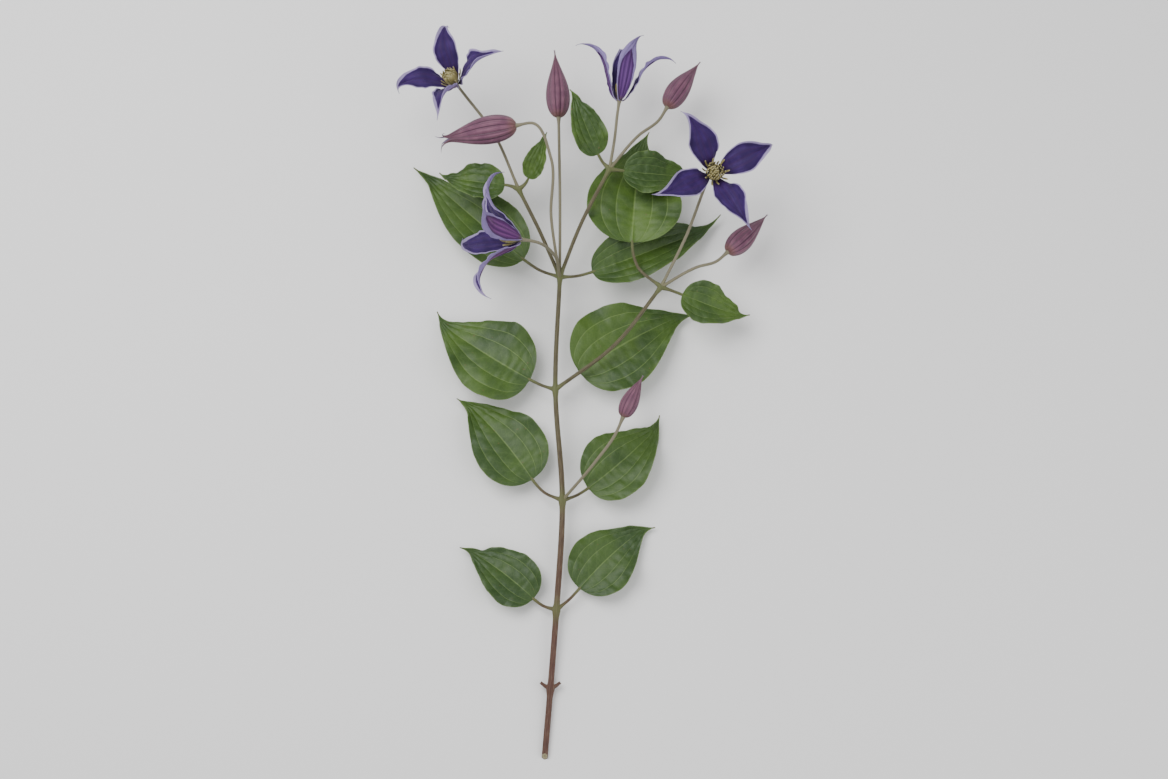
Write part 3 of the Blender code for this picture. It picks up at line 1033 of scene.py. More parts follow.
@dataclass
class Leaf:
    """One ovate leaf on the surface or above it.

    Attributes:
        name: The leaf's name.
        joint: The joint that it grows from.
        base: Where its blade starts.
        heading: The way that it points, seen from above.
        pitch: How steeply it climbs at its base and at its tip.
        length: From base to tip.
        width: At its broadest.
        roll: How far it has turned about its midrib at its tip.
        fold: How far each half is folded up.
        turn: How far its midrib bends sideways.
        wave: The height of the waves along its margin.
        phase: Where those waves start.
        curl: How far its drawn-out tip turns up.
        hook: How far its drawn-out tip turns aside.
        age: From 0, fresh green, to 1, dark green.
        peak: The share of its length at which it is broadest.
        drawn_out: The shares between which its tip starts to curl and hook.
        crease: How wide the round bottom of its fold is.
        solid_thickness, thickness: How thick its solid and its own blade are.
        base_half_width, tip_half_width: The least half width at each end.
        rib_half_width, nerve_reach: How broad the midrib and the side nerves are.
        flat_ends: How short the calm ends of its waves are.
        wave_skew: How far the waves of its margins are out of step, in radians.
        ruffle, crimp: The heights of the waves near the margin, and of the short ones at it.
        wave_turns, ruffle_turns, crimp_turns: How many of each there are.
        ruffle_drift, ruffle_grain, ruffle_layer: How unevenly the ruffles run.
        bulge, vein_sink: How far it bulges between its nerves, and sinks at its veins.
        dent, dents_along, dents_across, dent_layer: How deep its dents are, and how closely they lie.
        midrib_below, nerves_below: How far the nerves stand out below.
        midrib_root, root_span: How far the midrib stands up at its base, and where that ends.
        midrib_sink, sink_span, nerves_sink: How far the nerves are sunk above, and where.
        least_rows, rows_per_metre, column_steps, beside_nerve: The lines of its grid.
        stalk_lead, stalk_ease: How its stalk bends into line with it.
        stalk_seats: Pairs of a share of the midrib and how far below it the stalk runs.
    """

    name: str
    joint: str
    base: Point
    heading: float
    pitch: Span
    length: float
    width: float
    roll: float
    fold: float
    turn: float
    wave: float
    phase: float
    curl: float = 0.0
    hook: float = 0.0
    age: float = 0.3
    peak: float = 0.31
    drawn_out: Span = (0.76, 1.0)
    crease: float = 0.0020
    solid_thickness: float = 0.0008
    thickness: float = 0.00045
    base_half_width: float = 0.0010
    tip_half_width: float = 0.0003
    rib_half_width: float = 0.0007
    nerve_reach: float = 0.018
    flat_ends: Span = (6.0, 5.0)
    wave_turns: float = 2.3
    wave_skew: float = 1.1
    ruffle: float = 0.0014
    ruffle_turns: float = 3.3
    ruffle_drift: float = 3.0
    ruffle_grain: float = 2.6
    ruffle_layer: float = 5.0
    crimp: float = 0.00045
    crimp_turns: float = 8.5
    bulge: float = 0.00042
    vein_sink: float = 0.00014
    dent: float = 0.0006
    dents_along: float = 375.0
    dents_across: float = 3.0
    dent_layer: float = 7.0
    midrib_below: float = 0.00085
    nerves_below: float = 0.00030
    midrib_root: float = 0.00055
    root_span: Span = (0.02, 0.26)
    midrib_sink: float = 0.00020
    sink_span: Span = (0.20, 0.40)
    nerves_sink: float = 0.00010
    least_rows: float = 32.0
    rows_per_metre: float = 560.0
    column_steps: int = 30
    beside_nerve: tuple[float, ...] = (-1.6, -0.8, 0.0, 0.8, 1.6)
    stalk_lead: float = 0.45
    stalk_ease: float = 0.40
    stalk_seats: tuple[Span, ...] = ((0.035, 0.00045), (0.070, 0.00080), (0.110, 0.00095))
    path_steps: int = 48
    nerves: tuple[float, ...] = LeafFinish.nerves
    lines: dict[float, tuple[Vector, Vector, Vector]] = field(default_factory=dict)

    def angles(self, share: float) -> tuple[float, float]:
        """Gives the midrib's climb and its turn aside at a share of the leaf.

        Args:
            share: The share along the leaf.

        Returns:
            Both angles.
        """
        drawn = rise_between(*self.drawn_out, share)
        pitch = self.pitch[0] + (self.pitch[1] - self.pitch[0]) * share + self.curl * drawn
        return pitch, self.turn * share + self.hook * drawn

    def half_width(self, share: float) -> float:
        """Gives half the blade's width at a share of the leaf."""
        least = self.base_half_width + (self.tip_half_width - self.base_half_width) * share
        return max(0.5 * self.width * outline(share, self.peak), least)

    def line(self, share: float) -> tuple[Vector, Vector, Vector]:
        """Gives the midrib's point and the blade's sideways and upward directions there.

        Args:
            share: The share along the leaf.

        Returns:
            The point, the direction towards the margin and the direction off the blade.
        """
        if share not in self.lines:
            point = Vector()
            step = self.length * share / self.path_steps
            for i in range(self.path_steps):
                point += step * direction(*self.angles(share * (i + 0.5) / self.path_steps))
            pitch, turn = self.angles(share)
            along = direction(pitch, turn)
            side = direction(0.0, turn + 90.0)
            lean = Matrix.Rotation(math.radians(self.roll) * share, 3, along)
            self.lines[share] = (point, lean @ side, lean @ along.cross(side))
        return self.lines[share]

    def surface(self, row: float, across: float) -> Vector:
        """Gives the blade's middle, in the leaf's own space.

        Args:
            row: The row, from 0 at the base to 1 at the tip.
            across: The place across, from -1 to 1.

        Returns:
            The point.
        """
        share = crowd(row)
        point, side, up = self.line(share)
        reach = across * self.half_width(share)
        fold = math.radians(self.fold)
        rise = (math.hypot(reach, self.crease) - self.crease) * math.sin(fold)
        uneven = self.waves(share, across) + self.quilt(share, across)
        rise += uneven * fade_ends(share, *self.flat_ends)
        spot = point + side * reach * math.cos(fold) + up * rise
        spot.z = max(spot.z, self.solid_thickness / 2 - self.base[2])
        return spot

    def waves(self, share: float, across: float) -> float:
        """Gives how far the margin's waves, ruffles and crimps lift the blade.

        Args:
            share: The share along the leaf.
            across: The place across.

        Returns:
            The lift.
        """
        spot = Vector((self.ruffle_grain * share, across, self.ruffle_layer * self.phase))
        drift = self.ruffle_drift * noise.noise(spot)
        way = math.tau * share
        wave = math.sin(self.wave_turns * way + self.phase + self.wave_skew * across)
        ruffle = math.sin(self.ruffle_turns * way + 2 * self.phase + drift)
        crimp = math.sin(self.crimp_turns * way + 2 * self.phase)
        place = abs(across)
        return self.wave * place**2 * wave + self.ruffle * place**3 * ruffle + self.crimp * place**4 * crimp

    def quilt(self, share: float, across: float) -> float:
        """Gives how far the blade bulges between its nerves and veins.

        Args:
            share: The share along the leaf.
            across: The place across.

        Returns:
            The bulge.
        """
        place = abs(across)
        marks = (*self.nerves, 1.0)
        bulge = 0.0
        for near, far in zip(marks, marks[1:]):
            if near <= place <= far:
                bulge = self.bulge * math.sin(math.pi * (place - near) / (far - near))
        ladder = math.cos(math.tau * (LeafFinish.side_veins * share - LeafFinish.vein_slant * place))
        veins = self.vein_sink * ladder * math.sin(math.pi * place)
        way = self.length * share
        spot = Vector((self.dents_along * way, self.dents_across * across, self.dent_layer * self.phase))
        return bulge - veins + self.dent * noise.noise(spot)

    def relief(self, row: float, across: float, side: Side) -> float:
        """Sinks the nerves in the upper side and raises them below.

        Args:
            row: The row, from base to tip.
            across: The place across.
            side: Which side of the blade.

        Returns:
            How far the side stands out there.
        """
        share = crowd(row)
        fade = 1 - share
        midrib = bell(abs(across) * self.half_width(share), self.rib_half_width * fade + self.tip_half_width)
        nerves = sum(bell(abs(across) - nerve, self.nerve_reach) for nerve in self.nerves[1:])
        if side is Side.OUTER:
            return (self.midrib_below * midrib + self.nerves_below * nerves) * fade
        root = self.midrib_root * (1 - rise_between(*self.root_span, share))
        sink = self.midrib_sink * rise_between(*self.sink_span, share) * fade
        return (root - sink) * midrib - self.nerves_sink * nerves * fade

    def columns(self) -> list[float]:
        """Places the grid's lines evenly across, with extra ones at each nerve.

        Returns:
            The places, in order.
        """
        places = even_places(self.column_steps)
        for nerve in self.nerves:
            for beside in self.beside_nerve:
                place = nerve + beside * self.nerve_reach
                places += [place, -place]
        return sorted({round(place, 4) for place in places})

    def place(self) -> Matrix:
        """Gives the turn and the shift that set the leaf in its place, before the stem is centred."""
        return Matrix.Translation(self.base) @ Matrix.Rotation(math.radians(self.heading), 4, "Z")

    def build(self, material: Material) -> None:
        """Builds the leaf as one piece.

        Args:
            material: The leaf's material.
        """
        rows = round(self.least_rows + self.rows_per_metre * self.length)
        blade = Blade(self.name, self.thickness, rows, self.columns(), self.half_width)
        piece = blade.lay(self.surface, self.relief)
        piece.data.transform(Matrix.Translation(-MIDDLE) @ self.place())
        for vertex in piece.data.vertices:
            vertex.co.z = max(vertex.co.z, 0.0)
        mark(piece.data, "age", [self.age] * len(piece.data.vertices))
        dress(piece, [material], [self.name])

    def stalk_route(self) -> list[Vector]:
        """Gives the leaf stalk's way from its joint, and on below the midrib for a tenth of the blade.

        Returns:
            The points of its middle line.
        """
        start = JOINTS[self.joint]
        along = Matrix.Rotation(math.radians(self.heading), 3, "Z") @ direction(*self.angles(0.0))
        end = Vector(self.base) - along * TOUCH
        reach = (end - start).length
        middle = end - along * reach * self.stalk_lead
        under = []
        for share, drop in self.stalk_seats:
            point, _, up = self.line(share)
            under.append(self.place() @ (point - up * drop))
        return smooth_route([start, middle.lerp((start + end) / 2, self.stalk_ease), end, *under])


@dataclass
class Flower:
    """What blooms and buds share: where they stand, the way that they face and their stalk.

    Attributes:
        name: The flower's name.
        joint: The joint that its stalk grows from.
        via: The points that its stalk goes through.
        base: Where its tepals start.
        axis: The way that it faces.
        lead: How long the straight last part of its stalk is.
        sink: How far the stalk goes in.
    """

    name: str
    joint: str
    via: tuple[Point, ...]
    base: Point
    axis: Point
    lead: float = field(default=0.012, kw_only=True)
    sink: float = field(default=0.0012, kw_only=True)

    def place(self) -> Matrix:
        """Gives the turn and the shift that set the flower in its place."""
        turn = Vector(self.axis).normalized().to_track_quat("Z", "Y").to_matrix().to_4x4()
        return Matrix.Translation(Vector(self.base) - MIDDLE) @ turn

    def stalk_route(self) -> list[Vector]:
        """Gives the flower stalk's way from its joint to just inside the flower.

        Returns:
            The points of its middle line.
        """
        base, axis = Vector(self.base), Vector(self.axis).normalized()
        points = [JOINTS[self.joint], *(Vector(point) for point in self.via)]
        return smooth_route([*points, base - axis * self.lead, base + axis * self.sink])


@dataclass
class Bloom(Flower):
    """One bloom: four tepals in quarter turns round a head of stamens.

    Attributes:
        length, width: A tepal's size.
        opening: Pairs of a share of the tepal and its angle from the axis.
        spin: How far the tepals are turned about the axis.
        twist: How far a tepal's tip is twisted.
        channel: How far a tepal is hollowed.
        wave: The height of the waves along its margin.
        spread: How far tepals differ in angle at their tips.
        vary, vary_step: From 0, purple, to 1, violet, and how much nearer violet each next tepal is.
        gather: How far its stamens lean out, from 0 to 1.
        hooks: How far each tepal's curled tip is turned aside.
        peak: The share of its length at which a tepal is broadest.
        start: How far from the axis a tepal starts.
        margin: The clearance between neighbouring tepals.
        wedge, least_room: How much room it has at its distance from the axis, and at least.
        hug, flare: How far it bends round the axis, and outwards where it has no room.
        flat_ends: How short the calm ends of its ribs and waves are.
        rib, rib_turns: The height of its ribs, and how many are across each half.
        wave_turns, wave_shift: How many waves it has, and how far the next tepal's are out of step.
        tip_fold, fold_span, crease: How steeply its tip is folded back, where, and how roundly.
        horn, horn_span: How much its drawn-out tip narrows, and where.
        lip, lip_across, lip_along: How far its margin rolls back, and where.
        crimps, crimp_turns, crimp_shift: The height, number and shift of the margin's short waves.
        crimp_across, crimp_start, crimp_stop: Where across and along they start, and stop.
        crimp_drift, crimp_grain, crimp_layer, crimp_seed: How unevenly they run.
        thin_margin, margin_span, thin_tip, tip_span: How much each side is thinned, and where.
        rib_outside, rib_inside: How far the ribs stand out outside, and are sunk inside.
        rib_reach, rib_fade: How narrow they are, and how short their end is.
        hook_from, hook_ease: Where its tip starts to turn aside, and how much of its curl that costs.
        rows, column_steps: The steps of its grid, along and across.
    """

    length: float
    width: float
    opening: tuple[Span, ...]
    spin: float
    twist: float
    channel: float
    wave: float
    spread: float
    vary: float = 0.3
    vary_step: float = 0.08
    gather: float = 1.0
    hooks: tuple[float, ...] = (0.0, 0.0, 0.0, 0.0)
    tepals: int = 4
    peak: float = 0.42
    start: float = 0.0019
    margin: float = 0.00078
    wedge: float = 0.80
    least_room: float = 0.0006
    hug: float = 0.50
    flare: float = 0.75
    flat_ends: Span = (4.0, 3.0)
    rib: float = 0.00035
    rib_turns: float = 1.5
    wave_turns: float = 2.5
    wave_shift: float = 2.1
    thickness: float = 0.00052
    tip_half_width: float = 0.00012
    tip_fold: float = 0.62
    fold_span: Span = (0.50, 0.90)
    crease: float = 0.0006
    horn: float = 0.42
    horn_span: Span = (0.45, 0.80)
    lip: float = 0.0010
    lip_across: Span = (0.72, 1.06)
    lip_along: Span = (0.12, 0.35)
    crimps: float = 0.00055
    crimp_across: Span = (0.60, 1.0)
    crimp_start: Span = (0.06, 0.25)
    crimp_stop: Span = (0.50, 0.80)
    crimp_turns: float = 6.0
    crimp_shift: float = 1.7
    crimp_drift: float = 3.0
    crimp_grain: float = 9.0
    crimp_layer: float = 3.7
    crimp_seed: float = 0.4
    thin_margin: float = 0.00010
    margin_span: Span = (0.70, 1.0)
    thin_tip: float = 0.00012
    tip_span: Span = (0.80, 1.0)
    rib_reach: float = 0.05
    rib_outside: float = 0.00024
    rib_inside: float = 0.00012
    rib_fade: float = 2.2
    hook_from: float = 0.5
    hook_ease: float = 0.25
    rows: int = 72
    column_steps: int = 40
    path_steps: int = 48
    centres: dict[tuple[int, float], Vector] = field(default_factory=dict)

    def angle(self, number: int, share: float) -> float:
        """Gives a tepal's angle from the axis at a share of its length, in radians.

        Args:
            number: Which tepal.
            share: The share of its length.

        Returns:
            The angle.
        """
        sign = 1 if number % 2 else -1
        keys = [(place, angle + sign * self.spread * place) for place, angle in self.opening]
        return math.radians(smooth_key(keys, share))

    def angles(self, number: int, share: float) -> tuple[float, float]:
        """Gives a tepal's angle from the axis and its turn aside, both in radians.

        Args:
            number: Which tepal.
            share: The share of its length.

        Returns:
            Both angles. Past the share hook_from, a part of the curl goes aside.
        """
        full = self.angle(number, share)
        if share <= self.hook_from:
            return full, 0.0
        curl = max(0.0, full - self.angle(number, self.hook_from))
        hook = math.radians(self.hooks[number])
        eased = curl * (1 - self.hook_ease * abs(math.sin(hook)))
        return full - curl + eased * math.cos(hook), eased * math.sin(hook)

    def heading(self, angle: float, aside: float) -> Vector:
        """Gives the way that a tepal runs at its two angles."""
        return Vector((math.sin(angle) * math.cos(aside), math.sin(aside), math.cos(angle) * math.cos(aside)))

    def half_width(self, share: float) -> float:
        """Gives half the tepal's width at a share of its length."""
        drawn = 1 - self.horn * rise_between(*self.horn_span, share)
        return max(0.5 * self.width * outline(share, self.peak) * drawn, self.tip_half_width)

    def centre(self, number: int, share: float) -> Vector:
        """Gives the middle of a tepal at a share of its length.

        Args:
            number: Which tepal.
            share: The share of its length.

        Returns:
            The point.
        """
        if (number, share) not in self.centres:
            point = Vector((self.start, 0.0, 0.0))
            step = self.length * share / self.path_steps
            for i in range(self.path_steps):
                point += step * self.heading(*self.angles(number, share * (i + 0.5) / self.path_steps))
            self.centres[(number, share)] = point
        return self.centres[(number, share)]

    def surface(self, number: int, row: float, across: float) -> Vector:
        """Gives a tepal's middle, in the bloom's space before its quarter turn.

        Args:
            number: Which tepal.
            row: The row, from 0 at its base to 1 at its tip.
            across: The place across, from -1 to 1.

        Returns:
            The point.
        """
        share = crowd(row)
        sign = 1 if number % 2 else -1
        centre = self.centre(number, share)
        angle, aside = self.angles(number, share)
        along = self.heading(angle, aside)
        lean = Matrix.Rotation(math.radians(self.twist * sign) * share**2, 3, along)
        outward = lean @ off_leaning(angle)
        side = along.cross(outward)
        room = max(self.wedge * centre.x - self.margin, self.least_room)
        wanted = across * self.half_width(share)
        reach = room * math.tanh(wanted / room)
        rise = self.flare * (abs(wanted) - abs(reach)) - self.hug * reach**2 / (2 * centre.x)
        rise -= self.channel * math.sin(angle) * abs(reach) * abs(across)
        folded = self.tip_fold * rise_between(*self.fold_span, share)
        rise -= folded * (math.hypot(reach, self.crease) - self.crease)
        rise += self.waves(number, share, across)
        broad = self.half_width(share) / (0.5 * self.width)
        rolled = rise_between(*self.lip_across, abs(across)) * rise_between(*self.lip_along, share)
        return centre + side * reach + outward * (rise - self.lip * broad * rolled)

    def waves(self, number: int, share: float, across: float) -> float:
        """Gives how far a tepal's long ribs and the long and short waves of its margin lift it.

        Args:
            number: Which tepal.
            share: The share of its length.
            across: The place across.

        Returns:
            The lift.
        """
        ribs = self.rib * math.cos(math.tau * self.rib_turns * across) * fade_ends(share, *self.flat_ends)
        turn = math.tau * self.wave_turns * share + self.wave_shift * number + across
        calm = math.sin(self.angles(number, share)[0]) * min(1.0, self.flat_ends[1] * (1 - share))
        wave = self.wave * across**2 * math.sin(turn) * calm
        thin = rise_between(*self.crimp_across, abs(across)) * rise_between(*self.crimp_start, share)
        thin *= 1 - rise_between(*self.crimp_stop, share)
        sign = 1 if across > 0 else -1
        spot = Vector((self.crimp_grain * share, self.crimp_layer * number + sign, self.crimp_seed))
        turn = math.tau * self.crimp_turns * share + self.crimp_shift * number + sign
        return ribs + wave + self.crimps * thin * math.sin(turn + self.crimp_drift * noise.noise(spot))

    def relief(self, row: float, across: float, side: Side) -> float:
        """Thins the margin and raises three ribs on the outside.

        Args:
            row: The row, from base to tip.
            across: The place across.
            side: Which side of the tepal.

        Returns:
            How far the side stands out there.
        """
        share = crowd(row)
        thinned = self.thin_margin * rise_between(*self.margin_span, abs(across))
        thinned += self.thin_tip * rise_between(*self.tip_span, share)
        ribs = sum(bell(abs(across) - place, self.rib_reach) for place in TepalFinish.rib_places)
        height = self.rib_outside if side is Side.OUTER else -self.rib_inside
        return height * ribs * min(1.0, self.rib_fade * (1 - share)) - thinned

    def build_tepals(self, material: Material) -> None:
        """Builds the tepals, one piece each.

        Args:
            material: The tepals' material.
        """
        for number in range(self.tepals):
            name = f"{self.name}_tepal_{number + 1}"
            blade = Blade(name, self.thickness, self.rows, even_places(self.column_steps), self.half_width)
            piece = blade.lay(lambda row, across: self.surface(number, row, across), self.relief)
            quarter = Matrix.Rotation(math.radians(self.spin + 360 / self.tepals * number), 4, "Z")
            piece.data.transform(self.place() @ quarter)
            vary = min(1.0, self.vary + self.vary_step * number)
            mark(piece.data, "vary", [vary] * len(piece.data.vertices))
            dress(piece, [material], [name])


@dataclass
class Stamens:
    """A bloom's barrel of flat filaments, which lean out and curve back in at their long heads.

    Attributes:
        bloom: The bloom that holds them.
        seed: The seed of their unevenness.
        rings: For each ring, how many, the lean at the foot and the length.
        seat: Where they start above the bloom's base.
        ring_gap: How far from the axis the first ring starts, and each next one from the last.
        radius, sides, steps: A filament's radius before it is flattened, and its grid.
        head_span, end_span: The shares between which its head starts, and its end narrows.
        breadth, head_gain, end_loss: Its breadth, what its head has more and its end less.
        flat, head_flat, stretch: How thick it is, what its head has more, and how much broader it is.
        bend_steps, bend_power: How finely its bend is worked out, and how late the bend comes.
        curl, outer_curl: How far the inner rings turn in, and the outermost turns out.
        tilt_play, curl_play, turn_play: How far a filament's lean, curl and place in its ring differ.
        length_play: The shortest and the longest, as shares of the ring's length.
    """

    bloom: Bloom
    seed: int
    rings: tuple[tuple[int, float, float], ...] = (
        (7, 4.0, 0.0128),
        (12, 17.0, 0.0136),
        (17, 30.0, 0.0140),
        (22, 42.0, 0.0138),
        (9, 50.0, 0.0118),
    )
    seat: float = 0.0006
    ring_gap: float = 0.0004
    radius: float = 0.00035
    sides: int = 6
    steps: int = 10
    bend_steps: int = 12
    head_span: Span = (0.42, 0.56)
    end_span: Span = (0.88, 1.0)
    breadth: float = 0.95
    head_gain: float = 0.60
    end_loss: float = 0.95
    flat: float = 0.42
    head_flat: float = 0.40
    stretch: float = 1.25
    bend_power: float = 1.5
    curl: float = 26.0
    outer_curl: float = 20.0
    tilt_play: Span = (-4.0, 4.0)
    length_play: Span = (0.92, 1.04)
    curl_play: Span = (-9.0, 10.0)
    turn_play: Span = (-0.2, 0.2)

    def filament(self) -> Piece:
        """Models one upright filament, one unit long, with a broader head.

        Returns:
            The filament.
        """
        depth = 1 / self.steps
        deselect()
        bpy.ops.mesh.primitive_cylinder_add(
            vertices=self.sides, radius=self.radius, depth=depth, location=(0.0, 0.0, depth / 2)
        )
        piece = bpy.context.object
        bpy.ops.object.transform_apply(location=True, rotation=True, scale=True)
        bpy.ops.object.mode_set(mode="EDIT")
        bpy.ops.mesh.select_all(action="DESELECT")
        bpy.ops.object.mode_set(mode="OBJECT")
        for polygon in piece.data.polygons:
            polygon.select = polygon.normal.z > 0.9
        bpy.ops.object.mode_set(mode="EDIT")
        for _ in range(self.steps - 1):
            bpy.ops.mesh.extrude_region_move(TRANSFORM_OT_translate={"value": (0.0, 0.0, depth)})
        bpy.ops.object.mode_set(mode="OBJECT")
        for vertex in piece.data.vertices:
            head = rise_between(*self.head_span, vertex.co.z)
            end = rise_between(*self.end_span, vertex.co.z)
            breadth = self.breadth + self.head_gain * head - self.end_loss * end
            vertex.co.x *= breadth * (self.flat + self.head_flat * head)
            vertex.co.y *= breadth * self.stretch
        return piece

    def bend(self, point: Vector, lean: float, length: float, curl: float, foot: float) -> Vector:
        """Bends a point of the upright filament outwards and back in.

        Args:
            point: The point, with its height from 0 to 1.
            lean: The lean at the foot.
            length: The filament's length.
            curl: How far the head has turned back in, in degrees.
            foot: How far from the axis it starts.

        Returns:
            The bent point, leaning towards +X.
        """
        place = Vector((foot, 0.0, self.seat))
        slope = math.radians(lean)
        for i in range(self.bend_steps):
            part = point.z * (i + 0.5) / self.bend_steps
            slope = math.radians(lean - (lean + curl) * part**self.bend_power)
            place += leaning(slope) * length * point.z / self.bend_steps
        return place + off_leaning(slope) * point.x + Vector((0.0, point.y, 0.0))

    def build(self, material: Material) -> None:
        """Builds the whole head as one piece.

        Args:
            material: The stamens' material.
        """
        draw = random.Random(self.seed)
        master = self.filament()
        outermost = len(self.rings) - 1
        copies = []
        for ring, (count, lean, length) in enumerate(self.rings):
            ring_curl = self.curl if ring < outermost else -self.outer_curl * self.bloom.gather
            foot = self.ring_gap * (ring + 1)
            for i in range(count):
                copy = bpy.data.objects.new(master.name, master.data.copy())
                bpy.context.scene.collection.objects.link(copy)
                mark(copy.data, "share", [vertex.co.z for vertex in copy.data.vertices])
                tilt = (lean + draw.uniform(*self.tilt_play)) * self.bloom.gather
                size = length * draw.uniform(*self.length_play)
                curl = ring_curl + draw.uniform(*self.curl_play)
                step = i + 0.5 * (ring % 2) + draw.uniform(*self.turn_play)
                turn = Matrix.Rotation(math.tau * step / count, 3, "Z")
                for vertex in copy.data.vertices:
                    vertex.co = turn @ self.bend(vertex.co, tilt, size, curl, foot)
                copies.append(copy)
        bpy.data.objects.remove(master, do_unlink=True)
        name = f"{self.bloom.name}_stamens"
        piece = join_all(name, copies)
        piece.data.transform(self.bloom.place())
        dress(piece, [material], [name])


@dataclass
class Bud(Flower):
    """One closed bud of four tepals, whose margins meet in seams and whose tips part and curl.

    Attributes:
        length: From base to tip.
        radius: At its broadest.
        bend: How far its tip sways aside.
        spin: How far it is turned about its axis.
        parts_from, parts_to: The shares along it between which its tips lean out.
        curl_gain: How many times their own curl the tips would lean there.
        curls: How far each tip curls outwards.
        vary: A number that sets its streaks apart from another bud's.
        peak: The share of its length at which it is broadest.
        ribs, rib_depth: How many ribs it has, and how deep they are, as a share of the radius.
        seam: Half the gap between two tepals.
        thickness, least: A tepal's thickness, and the bud's least radius.
        thin_ends, base_span, tip_span: How much each side is thinned at the ends, and where.
        lip, lip_inset, lip_reach: How high, how far inside the seam and how broad the lip along it is.
        flat_ends: How short the lip's fading ends are at the base and the tip.
        rows, column_steps: The steps of a tepal's grid, along and across.
    """

    length: float
    radius: float
    bend: float = 0.0
    spin: float = 0.0
    parts_from: float = 0.88
    parts_to: float = 1.12
    curl_gain: float = 2.0
    curls: tuple[float, ...] = (10.0, 26.0, 4.0, 18.0)
    vary: float = 0.0
    peak: float = 0.30
    ribs: int = 12
    rib_depth: float = 0.045
    seam: float = 0.00012
    thickness: float = 0.0006
    least: float = 0.00045
    thin_ends: float = 0.00018
    base_span: Span = (0.0, 0.06)
    tip_span: Span = (0.90, 1.0)
    lip: float = 0.00030
    lip_inset: float = 0.0004
    lip_reach: float = 0.0005
    flat_ends: Span = (5.0, 4.0)
    rows: int = 60
    column_steps: int = 28
    path_steps: int = 12
    sink: float = field(default=0.0008, kw_only=True)

    def plain(self, share: float) -> float:
        """Gives the bud's radius without its ribs."""
        return max(self.radius * outline(share, self.peak), self.least)

    def half_width(self, share: float) -> float:
        """Gives half a tepal's width, measured round the bud."""
        return self.plain(share) * math.pi / 4

    def tilt(self, number: int, share: float) -> float:
        """Gives how far a tepal leans outwards at a share of the bud, in radians."""
        curl = self.curl_gain * math.radians(self.curls[number])
        return curl * rise_between(self.parts_from, self.parts_to, share)

    def surface(self, number: int, row: float, across: float) -> Vector:
        """Gives a tepal's middle, in the bud's own space.

        Args:
            number: Which tepal.
            row: The row, from 0 at its base to 1 at its tip.
            across: The place across, from -1 to 1.

        Returns:
            The point.
        """
        share = crowd(row)
        spine = Vector((0.0, 0.0, self.length * min(share, self.parts_from)))
        rest = max(0.0, share - self.parts_from)
        for i in range(self.path_steps):
            tilt = self.tilt(number, self.parts_from + rest * (i + 0.5) / self.path_steps)
            spine += leaning(tilt) * self.length * rest / self.path_steps
        plain = self.plain(share)
        turn = across * (math.pi / 4 - self.seam / max(plain, 4 * self.seam))
        width = plain * (1 - self.rib_depth * (1 - math.cos(self.ribs * turn))) - self.thickness / 2
        outward = off_leaning(self.tilt(number, share))
        point = spine + outward * width * math.cos(turn) + Vector((0.0, width * math.sin(turn), 0.0))
        quarter = Matrix.Rotation(math.pi / 2 * number, 3, "Z")
        return quarter @ point + Vector((self.bend * share**2, 0.0, 0.0))

    def relief(self, row: float, across: float, side: Side) -> float:
        """Raises a lip along each seam on the outside, and thins the blade at its ends.

        Args:
            row: The row, from base to tip.
            across: The place across.
            side: Which side of the tepal.

        Returns:
            How far the side stands out there.
        """
        share = crowd(row)
        near_end = 1 - rise_between(*self.base_span, share) + rise_between(*self.tip_span, share)
        thinned = self.thin_ends * near_end
        if side is Side.INNER:
            return -thinned
        inset = (1 - abs(across)) * self.half_width(share)
        lip = self.lip * bell(inset - self.lip_inset, self.lip_reach)
        return lip * fade_ends(share, *self.flat_ends) - thinned

    def build(self, material: Material) -> None:
        """Builds the bud as one piece.

        Args:
            material: The buds' material.
        """
        blade = Blade(self.name, self.thickness, self.rows, even_places(self.column_steps), self.half_width)
        tepals = []
        for number in range(len(self.curls)):
            tepals.append(blade.lay(lambda row, across: self.surface(number, row, across), self.relief))
        piece = join_all(self.name, tepals)
        piece.data.transform(self.place() @ Matrix.Rotation(math.radians(self.spin), 4, "Z"))
        mark(piece.data, "vary", [self.vary] * len(piece.data.vertices))
        dress(piece, [material], [self.name])


@dataclass(frozen=True)
class Girth:
    """How thick a rod is along its way, with swellings at its two ends.

    Attributes:
        radius: Its radius between them.
        foot, foot_reach: How much it swells at its start, as a share of the radius, and how far.
        head, head_reach: How much it swells at its end, and how far.
        slim, slim_reach: How much of the radius it loses at its end, and over what length.
    """

    radius: float
    foot: float
    foot_reach: float
    head: float = 0.0
    head_reach: float = 0.0034
    slim: float = 0.0
    slim_reach: float = 0.0075

    def at(self, gone: float, left: float) -> float:
        """Gives the radius at a distance from the rod's start and from its end.

        Args:
            gone: The distance from its start.
            left: The distance from its end.

        Returns:
            The radius.
        """
        swelling = self.foot * bell(gone, self.foot_reach) + self.head * bell(left, self.head_reach)
        slimness = 1 - self.slim * (1 - rise_between(0.0, self.slim_reach, left))
        return self.radius * (1 + swelling) * slimness


